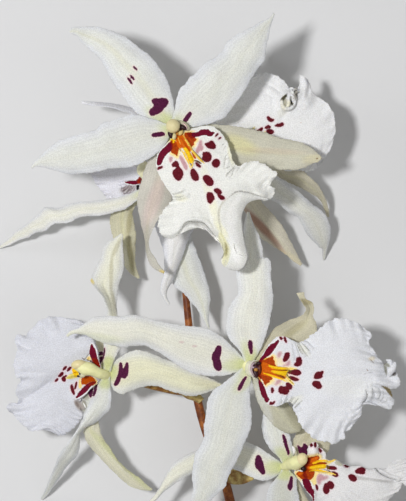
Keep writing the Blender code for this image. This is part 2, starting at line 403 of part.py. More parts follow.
# Each column, with the swelling it grows from: plan points with heights, and radii in millimetres.
COLUMNS = {
    "a_column": dict(line=[(172, 129.5, 56.4), (172, 129, 58.5), (172, 128.4, 61), (172, 128, 63.2),
                           (172.1, 128, 64.4), (172.2, 127.8, 65.4), (172.4, 127.4, 67.2),
                           (172.8, 126.6, 70), (173, 126, 72.4), (173, 126, 73.6)],
                     radius=[1.5, 1.9, 2.0, 2.1, 2.9, 2.8, 2.3, 2.9, 2.7, 1.3]),
    "b_column": dict(line=[(250, 142, 27.0), (250, 142, 29.5), (250.4, 141.4, 32),
                           (251, 140.6, 35), (252.2, 139, 38), (253.2, 137.2, 40.8),
                           (253.8, 136, 42.4)],
                     radius=[1.5, 1.9, 2.0, 1.9, 1.9, 2.2, 1.1]),
    "c_column": dict(line=[(247.6, 365, 42.6), (247.8, 365, 45), (248, 365, 48.4),
                           (248.1, 365.1, 49.6), (248.3, 365.3, 50.6), (248.9, 365.7, 51.6),
                           (250, 366.4, 53.2), (252, 367.6, 55.6), (254, 368.8, 57.6),
                           (255.2, 369.4, 58.6)],
                     radius=[1.5, 1.9, 2.0, 2.4, 3.6, 3.3, 2.4, 2.7, 2.4, 1.2]),
    "d_column": dict(line=[(150.6, 186, 18.6), (150.4, 186, 21), (150.2, 185.6, 24),
                           (149.4, 183.6, 27), (147.4, 179, 30.4), (144.4, 173.4, 33.4),
                           (142.6, 170, 34.6)],
                     radius=[1.5, 1.9, 2.0, 1.8, 1.7, 1.7, 0.9]),
    "e_column": dict(line=[(107.6, 373, 31.0), (107.4, 373, 33.4), (107.2, 373, 35.8),
                           (106.9, 373, 37.4), (106.2, 372.8, 38.8), (104, 372.2, 40.0),
                           (100, 371, 41.2), (94, 369.4, 42.2), (87, 367.6, 43.2),
                           (79, 366, 44.2), (74, 365.4, 44.8), (71.6, 365.2, 45.0)],
                     radius=[1.5, 1.9, 2.1, 2.9, 3.0, 2.6, 2.3, 2.2, 2.2, 2.5, 2.2, 1.0]),
    "f_column": dict(line=[(285.6, 467.4, 25.4), (285.6, 467.4, 27.6), (285.8, 467.4, 30),
                           (286.2, 467, 31.6), (287.2, 466.2, 33.2), (289.4, 464.6, 35.2),
                           (293, 462.2, 37.6), (298, 459, 40.2), (303, 456.6, 42.2),
                           (305.4, 455.6, 42.8)],
                     radius=[1.5, 1.9, 2.1, 2.9, 3.0, 2.5, 2.2, 2.5, 2.3, 1.0]),
}

# Stem and flower stalks: plan points with heights, and radii in millimetres.
STEM = dict(line=[(176, 192, 19), (177.6, 212, 17.2), (181, 245, 15.8), (186, 297, 15),
                  (189, 326, 14.5), (193, 362, 14), (197, 397, 13.4), (205, 428, 12.6),
                  (215.5, 456, 11.8), (226, 485, 10.9), (230, 501, 10.3), (239, 540, 8.8),
                  (249, 590, 6.4), (258, 640, 3.9), (265, 680, 2.4), (268, 700, 2.1),
                  (271, 722, 2.1)],
            radius=[1.25, 1.3, 1.4, 1.5, 1.6, 1.7, 1.8, 1.9, 1.95, 2.05, 2.1, 2.15, 2.2, 2.25,
                    2.3, 2.3, 2.3])

STALKS = {
    "a_stalk": dict(line=[(176, 189.4, 19.8), (176, 178, 28), (175.4, 163, 38),
                          (174, 147, 48), (172.4, 132, 55.4)],
                    radius=[1.2, 1.2, 1.3, 1.6, 1.7]),
    "b_stalk": dict(line=[(184, 222, 16.8), (202, 206, 17), (226, 178, 20.0),
                          (243, 153, 23.4), (248.4, 144, 24.9)],
                    radius=[1.1, 1.2, 1.3, 1.5, 1.5]),
    "d_stalk": dict(line=[(173.4, 233, 16.2), (167, 221, 16.6), (158, 204, 16.8),
                          (151.8, 190, 17.2)],
                    radius=[1.1, 1.2, 1.4, 1.5]),
    "c_stalk": dict(line=[(196.8, 337.4, 14.8), (210, 343.6, 24), (230, 356, 34.6),
                          (245.6, 364.6, 41.4)],
                    radius=[1.1, 1.2, 1.5, 1.6]),
    "e_stalk": dict(line=[(191, 394, 13.6), (174, 391.6, 18.4), (154, 387, 23.6),
                          (134, 381, 27.4), (112, 374, 30.2)],
                    radius=[1.1, 1.2, 1.3, 1.5, 1.6]),
    "f_stalk": dict(line=[(228.4, 476.6, 12.4), (242, 477, 15.6), (258, 475, 19.4),
                          (272, 471, 22.4), (281.6, 468.2, 24.2)],
                    radius=[1.1, 1.2, 1.4, 1.6, 1.6]),
}

# Bracts at the stalks' feet: edges, heights, drop of the edges.
BRACTS = {
    "bract_c": dict(left=[(194, 331.4), (203, 334), (213, 340), (219, 345)],
                    right=[(192.4, 344), (202, 349), (212, 349.6), (218.6, 346.8)],
                    height=[11.6, 14.6, 18.6, 22.6]),
    "bract_e": dict(left=[(204, 399), (197, 392.6), (189, 389.6), (179, 390.4)],
                    right=[(199, 403.4), (193, 400.4), (187, 398.6), (180, 393.4)],
                    height=[17.2, 17.6, 19.4, 21.4]),
    "bract_f": dict(left=[(220.6, 470), (230, 467.6), (241, 470), (254, 477)],
                    right=[(222, 479.6), (232, 484), (243, 484), (253.4, 479.6)],
                    height=[15.6, 17.0, 19.8, 23.4]),
}

MATERIALS = {
    "petal": ((0.86, 0.87, 0.82), 0.45),
    "lip": ((0.90, 0.90, 0.90), 0.45),
    "callus": ((0.95, 0.55, 0.06), 0.35),
    "column": ((0.80, 0.80, 0.45), 0.40),
    "stalk": ((0.52, 0.36, 0.16), 0.50),
    "stem": ((0.36, 0.17, 0.07), 0.50),
    "bract": ((0.55, 0.50, 0.28), 0.60),
}


def clear_scene():
    for thing in list(bpy.data.objects):
        bpy.data.objects.remove(thing, do_unlink=True)


def make_materials():
    made = {}
    for name, (colour, rough) in MATERIALS.items():
        material = bpy.data.materials.new(name)
        material.use_nodes = True
        shader = material.node_tree.nodes["Principled BSDF"]
        shader.inputs["Base Color"].default_value = (*colour, 1.0)
        shader.inputs["Roughness"].default_value = rough
        made[name] = material
    return made


def resample(points, places):
    """Smooth curve through the points, read at places from 0 to 1 of its length."""
    points = np.asarray(points, float)
    if points.ndim == 1:
        points = points[:, None]
    if len(points) == 1:
        return np.repeat(points, len(places), axis=0)
    return hermite(points, chord(points), np.asarray(places, float))


def chord(points):
    steps = np.linalg.norm(np.diff(points, axis=0), axis=1) + 1e-9
    along = np.concatenate([[0.0], np.cumsum(steps)])
    return along / along[-1]


def hermite(points, at, places):
    slopes = np.diff(points, axis=0) / np.diff(at)[:, None]
    tangents = np.empty_like(points)
    tangents[0] = slopes[0]
    tangents[-1] = slopes[-1]
    before = np.diff(at)[:-1, None]
    after = np.diff(at)[1:, None]
    tangents[1:-1] = (slopes[:-1] * after + slopes[1:] * before) / (before + after)
    cell = np.clip(np.searchsorted(at, places, side="right") - 1, 0, len(at) - 2)
    width = np.diff(at)[cell]
    x = ((places - at[cell]) / width)[:, None]
    width = width[:, None]
    return (
        (2 * x**3 - 3 * x**2 + 1) * points[cell]
        + (x**3 - 2 * x**2 + x) * width * tangents[cell]
        + (3 * x**2 - 2 * x**3) * points[cell + 1]
        + (x**3 - x**2) * width * tangents[cell + 1]
    )


def profile(values, places):
    """Evenly spaced values, read smoothly at places from 0 to 1."""
    values = np.asarray(values, float)
    if len(values) == 1:
        return np.full(len(places), values[0])
    at = np.linspace(0.0, 1.0, len(values))
    return hermite(values[:, None], at, np.asarray(places, float))[:, 0]


def to_world(plan):
    """Plan points with heights in millimetres, to metres."""
    plan = np.asarray(plan, float)
    z = plan[..., 2] / 1000.0
    scale = UNIT * (VIEW_HEIGHT - z) / (VIEW_HEIGHT - GRID_HEIGHT)
    x = (plan[..., 0] - GRID_MIDDLE[0]) * scale - ORIGIN_AT[0]
    y = (GRID_MIDDLE[1] - plan[..., 1]) * scale - ORIGIN_AT[1]
    return np.stack([x, y, z], axis=-1)


def patch(left, right, near, far, along, across):
    """Surface spanned by four edges, as plan points: rows run from near to far."""
    t = along[:, None, None]
    s = across[None, :, None]
    sides = (1 - s) * left[:, None] + s * right[:, None]
    ends = (1 - t) * near[None] + t * far[None]
    corners = (
        (1 - s) * (1 - t) * left[0]
        + s * (1 - t) * right[0]
        + (1 - s) * t * left[-1]
        + s * t * right[-1]
    )
    return sides + ends - corners


def distance_to(line, plan):
    """Distance of plan points from a line of plan points."""
    line = resample(line, np.linspace(0, 1, 40))
    gaps = np.linalg.norm(plan[..., None, :] - line, axis=-1)
    return gaps.min(axis=-1)


def edge_waves(along, across, depth, seed):
    """Shallow waves that grow towards both side edges."""
    draw = np.random.default_rng(seed)
    first = draw.uniform(0, 2 * math.pi, 4)
    t = along[:, None]
    s = across[None, :]
    low = np.sin(2 * math.pi * 2.3 * t + first[0]) + 0.6 * np.sin(2 * math.pi * 4.1 * t + first[1])
    high = np.sin(2 * math.pi * 2.6 * t + first[2]) + 0.6 * np.sin(2 * math.pi * 3.7 * t + first[3])
    toward_left = np.clip(1 - 2 * s, 0, 1) ** 2
    toward_right = np.clip(2 * s - 1, 0, 1) ** 2
    ends = np.sin(math.pi * np.clip(t, 0, 1))
    return depth * ends * (toward_left * low + toward_right * high)


def tepal_surface(shape, steps, seed):
    along = np.linspace(0, 1, steps[0] + 1)
    across = np.linspace(0, 1, steps[1] + 1)
    left = resample(shape["left"], along)
    right = resample(shape["right"], along)
    near = left[0] + across[:, None] * (right[0] - left[0])
    far = left[-1] + across[:, None] * (right[-1] - left[-1])
    plan = patch(left, right, near, far, along, across)
    side = 2 * across[None, :] - 1
    height = profile(shape["height"], along)[:, None]
    height = height + profile(shape["rise"], along)[:, None] * side
    height = height - profile(shape["drop"], along)[:, None] * side**2
    height = height + edge_waves(along, across, shape["wave"], seed)
    height = np.maximum(height, LOWEST)
    return np.concatenate([plan, height[..., None]], axis=-1)


def lip_surface(shape, steps):
    along = np.linspace(0, 1, steps[0] + 1)
    across = np.linspace(0, 1, steps[1] + 1)
    plan = lip_plan(shape, along, steps[1] // 2)
    height = lip_height(shape, plan, along, across)
    return np.concatenate([plan, height[..., None]], axis=-1)


def lip_plan(shape, along, half):
    """Two patches side by side, which meet on the lip's middle line."""
    across = np.linspace(0, 1, half + 1)
    left = resample(shape["left"], along)
    right = resample(shape["right"], along)
    middle = resample(shape["middle"], along)
    tip = shape["front"].index(shape["middle"][-1])
    far_left = resample(shape["front"][: tip + 1], across)
    far_right = resample(shape["front"][tip:], across)
    near_left = left[0] + across[:, None] * (middle[0] - left[0])
    near_right = middle[0] + across[:, None] * (right[0] - middle[0])
    one = patch(left, middle, near_left, far_left, along, across)
    other = patch(middle, right, near_right, far_right, along, across)
    return np.concatenate([one, other[:, 1:]], axis=1)


def lip_height(shape, plan, along, across):
    side = 2 * across[None, :] - 1
    height = profile(shape["height"], along)[:, None]
    height = height - profile(shape["drop"], along)[:, None] * side**2
    height = height + edge_waves(along, across, shape["wave"], shape["seed"])
    height = height + front_waves(along, across, shape["wave"], shape["seed"] + 1)
    for line, rise, width in shape["folds"]:
        height = height + rise * np.exp(-((distance_to(line, plan) / width) ** 2))
    return height


def front_waves(along, across, depth, seed):
    draw = np.random.default_rng(seed)
    first = draw.uniform(0, 2 * math.pi, 2)
    s = across[None, :]
    toward_front = np.clip(along[:, None] - 0.55, 0, 1) ** 2 / 0.45**2
    wave = np.sin(2 * math.pi * 2.2 * s + first[0]) + 0.6 * np.sin(2 * math.pi * 3.6 * s + first[1])
    return depth * 1.3 * toward_front * wave


def height_at(surface, point):
    """Height of the nearest sample of a surface to a plan point."""
    flat = surface.reshape(-1, 3)
    near = np.argsort(np.linalg.norm(flat[:, :2] - point, axis=1))[:4]
    return flat[near, 2].max()


def callus_surface(shape):
    """Two low keels side by side, lying a little over the lip."""
    along = np.linspace(0, 1, shape["steps"][0] + 1)
    across = np.linspace(-1, 1, shape["steps"][1] + 1)
    line = resample(shape["line"], along)
    way = np.gradient(line, axis=0)
    way /= np.linalg.norm(way, axis=1)[:, None]
    aside = np.stack([-way[:, 1], way[:, 0]], axis=-1)
    half = profile(shape["half"], along)
    plan = line[:, None] + aside[:, None] * half[:, None, None] * across[None, :, None]
    lip = lip_surface(LIPS[shape["lip"]], (40, 30))
    floor = np.array([[height_at(lip, point) for point in row] for row in plan])
    floor = floor.max(axis=1, keepdims=True)
    keels = np.exp(-(((np.abs(across) - 0.5) / 0.3) ** 2))[None, :]
    ends = np.sin(math.pi * np.clip(0.12 + 0.8 * along, 0, 1))[:, None]
    height = floor + 1.25 + shape["keel"] * keels * ends
    return np.concatenate([plan, height[..., None]], axis=-1)


def bract_surface(shape, steps):
    return tepal_surface(dict(shape, rise=[0, 0], drop=[1.6, 2.0, 0.8], wave=0.1), steps, 1)


def add_blade(name, surface, thickness, material):
    """A thin closed blade round a surface, triangulated alike on both faces."""
    points = to_world(surface)
    rows, columns = points.shape[:2]
    mesh = bpy.data.meshes.new(name)
    build = bmesh.new()
    grid = [[build.verts.new(points[i, j]) for j in range(columns)] for i in range(rows)]
    for i in range(rows - 1):
        for j in range(columns - 1):
            a, b = grid[i][j], grid[i][j + 1]
            c, d = grid[i + 1][j + 1], grid[i + 1][j]
            build.faces.new((a, b, c))
            build.faces.new((a, c, d))
    bmesh.ops.recalc_face_normals(build, faces=build.faces)
    build.to_mesh(mesh)
    build.free()
    blade = add_object(name, mesh, material)
    solid = blade.modifiers.new("Thickness", "SOLIDIFY")
    solid.thickness = thickness
    solid.offset = 0.0
    solid.use_even_offset = False
    cut = blade.modifiers.new("Triangles", "TRIANGULATE")
    cut.quad_method = "FIXED"
    return blade


def add_tube(name, shape, steps, sides, material, flat=False):
    """A round stalk with closed ends; flat presses its underside onto the surface."""
    along = np.linspace(0, 1, steps + 1)
    line = to_world(resample(shape["line"], along))
    at = chord(to_world(shape["line"]))
    radius = hermite(np.array(shape["radius"])[:, None], at, along)[:, 0] / 1000.0
    way = np.gradient(line, axis=0)
    way /= np.linalg.norm(way, axis=1)[:, None]
    aside, lift = frames_along(way)
    turn = 2 * math.pi * np.arange(sides) / sides
    rings = (
        line[:, None]
        + radius[:, None, None] * np.cos(turn)[None, :, None] * aside[:, None]
        + radius[:, None, None] * np.sin(turn)[None, :, None] * lift[:, None]
    )
    if flat:
        rings[..., 2] = np.maximum(rings[..., 2], 0.0)
    mesh = tube_mesh(name, rings)
    tube = add_object(name, mesh, material)
    return tube


def frames_along(way):
    """Two directions across a line that turn with it as little as possible."""
    aside = np.empty_like(way)
    first = np.cross(way[0], (0.0, 0.0, 1.0))
    if np.linalg.norm(first) < 0.1:
        first = np.cross(way[0], (0.0, 1.0, 0.0))
    for i, direction in enumerate(way):
        first = first - direction * (first @ direction)
        first = first / np.linalg.norm(first)
        aside[i] = first
    return aside, np.cross(aside, way)


def tube_mesh(name, rings):
    steps, sides = rings.shape[:2]
    build = bmesh.new()
    grid = [[build.verts.new(point) for point in ring] for ring in rings]
    for i in range(steps - 1):
        for j in range(sides):
            k = (j + 1) % sides
            build.faces.new((grid[i][j], grid[i][k], grid[i + 1][k]))
            build.faces.new((grid[i][j], grid[i + 1][k], grid[i + 1][j]))
    for ring in (grid[0], grid[-1]):
        middle = build.verts.new(sum((v.co for v in ring), ring[0].co * 0) / sides)
        for j in range(sides):
            build.faces.new((ring[j], ring[(j + 1) % sides], middle))
    bmesh.ops.recalc_face_normals(build, faces=build.faces)
    mesh = bpy.data.meshes.new(name)
    build.to_mesh(mesh)
    build.free()
    return mesh


def add_object(name, mesh, material):
    for face in mesh.polygons:
        face.use_smooth = True
    mesh.materials.append(material)
    thing = bpy.data.objects.new(name, mesh)
    bpy.context.scene.collection.objects.link(thing)
    return thing


def build_spray():
    materials = make_materials()
    for seed, (name, shape) in enumerate(TEPALS.items()):
        surface = tepal_surface(shape, TEPAL_STEPS, seed + 20)
        add_blade(name, surface, TEPAL_THICKNESS, materials["petal"])
    for name, shape in LIPS.items():
        add_blade(name, lip_surface(shape, LIP_STEPS), LIP_THICKNESS, materials["lip"])
    for name, shape in CALLI.items():
        add_blade(name, callus_surface(shape), CALLUS_THICKNESS, materials["callus"])
    for name, shape in COLUMNS.items():
        add_tube(name, shape, 17, 10, materials["column"])
    for name, shape in STALKS.items():
        add_tube(name, shape, 8, 8, materials["stalk"])
    for name, shape in BRACTS.items():
        add_blade(name, bract_surface(shape, BRACT_STEPS), BRACT_THICKNESS, materials["bract"])
    add_tube("stem", STEM, 40, 10, materials["stem"], flat=True)


clear_scene()
build_spray()
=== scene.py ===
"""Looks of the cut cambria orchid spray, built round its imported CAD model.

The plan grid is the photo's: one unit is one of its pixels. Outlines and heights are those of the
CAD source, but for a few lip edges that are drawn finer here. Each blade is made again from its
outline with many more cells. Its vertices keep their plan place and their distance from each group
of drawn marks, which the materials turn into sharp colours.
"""

import math

import bmesh
import bpy
import numpy as np
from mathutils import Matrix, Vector


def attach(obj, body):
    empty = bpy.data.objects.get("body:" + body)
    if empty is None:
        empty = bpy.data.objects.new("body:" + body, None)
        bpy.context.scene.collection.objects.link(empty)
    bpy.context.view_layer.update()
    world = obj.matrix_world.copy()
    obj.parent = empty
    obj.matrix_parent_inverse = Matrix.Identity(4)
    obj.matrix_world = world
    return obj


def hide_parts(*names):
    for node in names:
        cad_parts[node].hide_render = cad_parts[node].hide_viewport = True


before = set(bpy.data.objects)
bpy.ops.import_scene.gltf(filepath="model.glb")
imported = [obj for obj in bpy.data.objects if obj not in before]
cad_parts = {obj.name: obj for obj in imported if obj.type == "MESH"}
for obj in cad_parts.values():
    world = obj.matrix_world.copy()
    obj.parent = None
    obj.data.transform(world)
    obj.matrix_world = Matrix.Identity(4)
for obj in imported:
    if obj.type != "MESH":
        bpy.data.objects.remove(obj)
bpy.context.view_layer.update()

# Driving dimensions
BLOOM_SPAN = 0.120  # tip to tip of the topmost bloom, in metres
SPAN_UNITS = 286.0  # the same span on the plan grid
UNIT = BLOOM_SPAN / SPAN_UNITS
GRID_MIDDLE = (203.0, 250.5)  # the plan point under the eye
VIEW_HEIGHT = 1.2  # eye height over the surface, for which the plan was drawn
GRID_HEIGHT = 0.040  # height at which one grid unit is exactly UNIT
ORIGIN_AT = (0.00126, -0.05334)  # metres from the grid's middle to the middle of the part's box
LOWEST = 0.4  # millimetres: middle of a blade that lies on the surface

# Numbers of cells, along and across
TEPAL_CELLS = (110, 22)
LIP_CELLS = (132, 108)
FOLD_CELLS = (70, 24)
BED_CELLS = (76, 48)
BRACT_CELLS = (40, 20)
COLUMN_CELLS = (50, 28)
CORD_CELLS = (60, 16)
STALK_CELLS = (60, 24)
STEM_CELLS = (260, 32)
BALL_CELLS = (16, 24)

# Sheets, in metres: thickness in the middle and at the rim, and how far the rim bulges out
TISSUE = (0.0006, 0.00026)
BRACT_TISSUE = (0.0007, 0.0004)
RIM_ROUND = 0.00012

# In grid units
TEPAL_RAGGED = 0.4  # depth of the uneven edges
LIP_RAGGED = 0.75
NARROW = 12  # a tepal narrower than this has smaller waves in its edges
BASE_REACH = 5.0  # how far a tepal's base is drawn in towards the column
FLOOR_BLUR = 0.9  # width over which the lip's height under a bed is smoothed
FLOOR_NEAR = 4  # samples of the lip further off than this are left out
MARK_GROWTH = 0.18  # what rounding takes off a small mark
REACH_LIMIT = 9  # distances from marks are kept up to this
FAR_OFF = 50.0  # distance of a place with no mark

# In millimetres
EDGE_LIFT = 0.22  # how far a tepal's edges rise and sink
CHANNEL = 0.15  # depth of the channel along a tepal's middle line
RIB_CHANNEL = 0.5  # what a rib of full strength adds to it
SWELL = 0.12  # height of the soft swells on a tepal
BED_SINK = 0.35  # how far the edge of a callus's bed lies under the lip's surface
BED_RISE = 0.75  # how far its middle stands over its edge

# Shares of a length or a half width
BASE_SHARE = 0.12  # the stretch over which a tepal's base is drawn in
CHANNEL_WIDTH = 0.14
END_SHARE = 0.12  # the stretch over which a crease or a ridge fades out at each end
BED_REACH = 1.2  # half width of a bed, against its solid's

# How many waves there are along an edge or across a surface; their sum never repeats
TEPAL_EDGE_WAVES = (5.3, 11.9, 23.7, 37.1)
TEPAL_LIFT_WAVES = (3.3, 6.1, 9.7)
TEPAL_SWELLS = (1.7, 3.9)
LIP_FRONT_WAVES = (3.1, 4.7, 7.3)
LIP_FLANK_WAVES = (5, 8.3, 12.1)
LIP_EDGE_WAVES = (13.3, 21.7, 39.1)

# Scales of the noises on blades, per grid unit
CLOUD_SCALE = 0.05
DAPPLE_SCALE = 0.55
WOBBLE_SCALE = 0.8
# The tone of the cell and glint noises paints glints into the base colour; the cells also drive
# roughness and relief.
CELL_SCALE = 0.8
GLINT_SCALE = 1.0
RELIEF_SCALE = 0.5
WOBBLE = 0.3  # how far noise shifts the edge of a mark
SCATTER = (1.0, 0.85, 0.6)  # how deep red, green and blue light go into tissue

UNFOLD_PASSES = 800
LINE_SAMPLES = 40  # points on a line from which distances are measured
LINE_PIECES = 23  # straight pieces of a drawn line

PLAN_SIZE = (406.0, 501.0)
SENSOR = 36.0  # millimetres
FLOOR_HALF = 2.0
WORLD_COLOUR = (1.0, 0.98, 0.94, 1.0)
WORLD_STRENGTH = 0.24
LIGHTS_AIM = (0.0, 0.05, 0.03)
# Round area lights: place, diameter, power, tint
LIGHTS = {
    "key": ((-0.31, 0.13, 1.25), 0.11, 10.2, (1.0, 0.99, 0.97)),
    "side": ((-0.9, 0.3, 0.45), 0.4, 1.6, (0.97, 0.98, 1.0)),
    "top": ((0.5, -0.4, 1.6), 1.6, 3.2, (1.0, 1.0, 1.0)),
}


def curve(text):
    """Points written as "u,v u,v", or with heights as "u,v,z u,v,z"."""
    return [tuple(float(number) for number in point.split(",")) for point in text.split()]


def outlines(text):
    """Closed outlines, parted by slashes."""
    return [curve(part) for part in text.split("/")]


def lines(text):
    """Lines parted by slashes, each followed by a colon and its numbers: (points, number, ...)."""
    found = []
    for part in text.split("/"):
        points, numbers = part.split(":")
        found.append((curve(points), *(float(number) for number in numbers.split())))
    return found


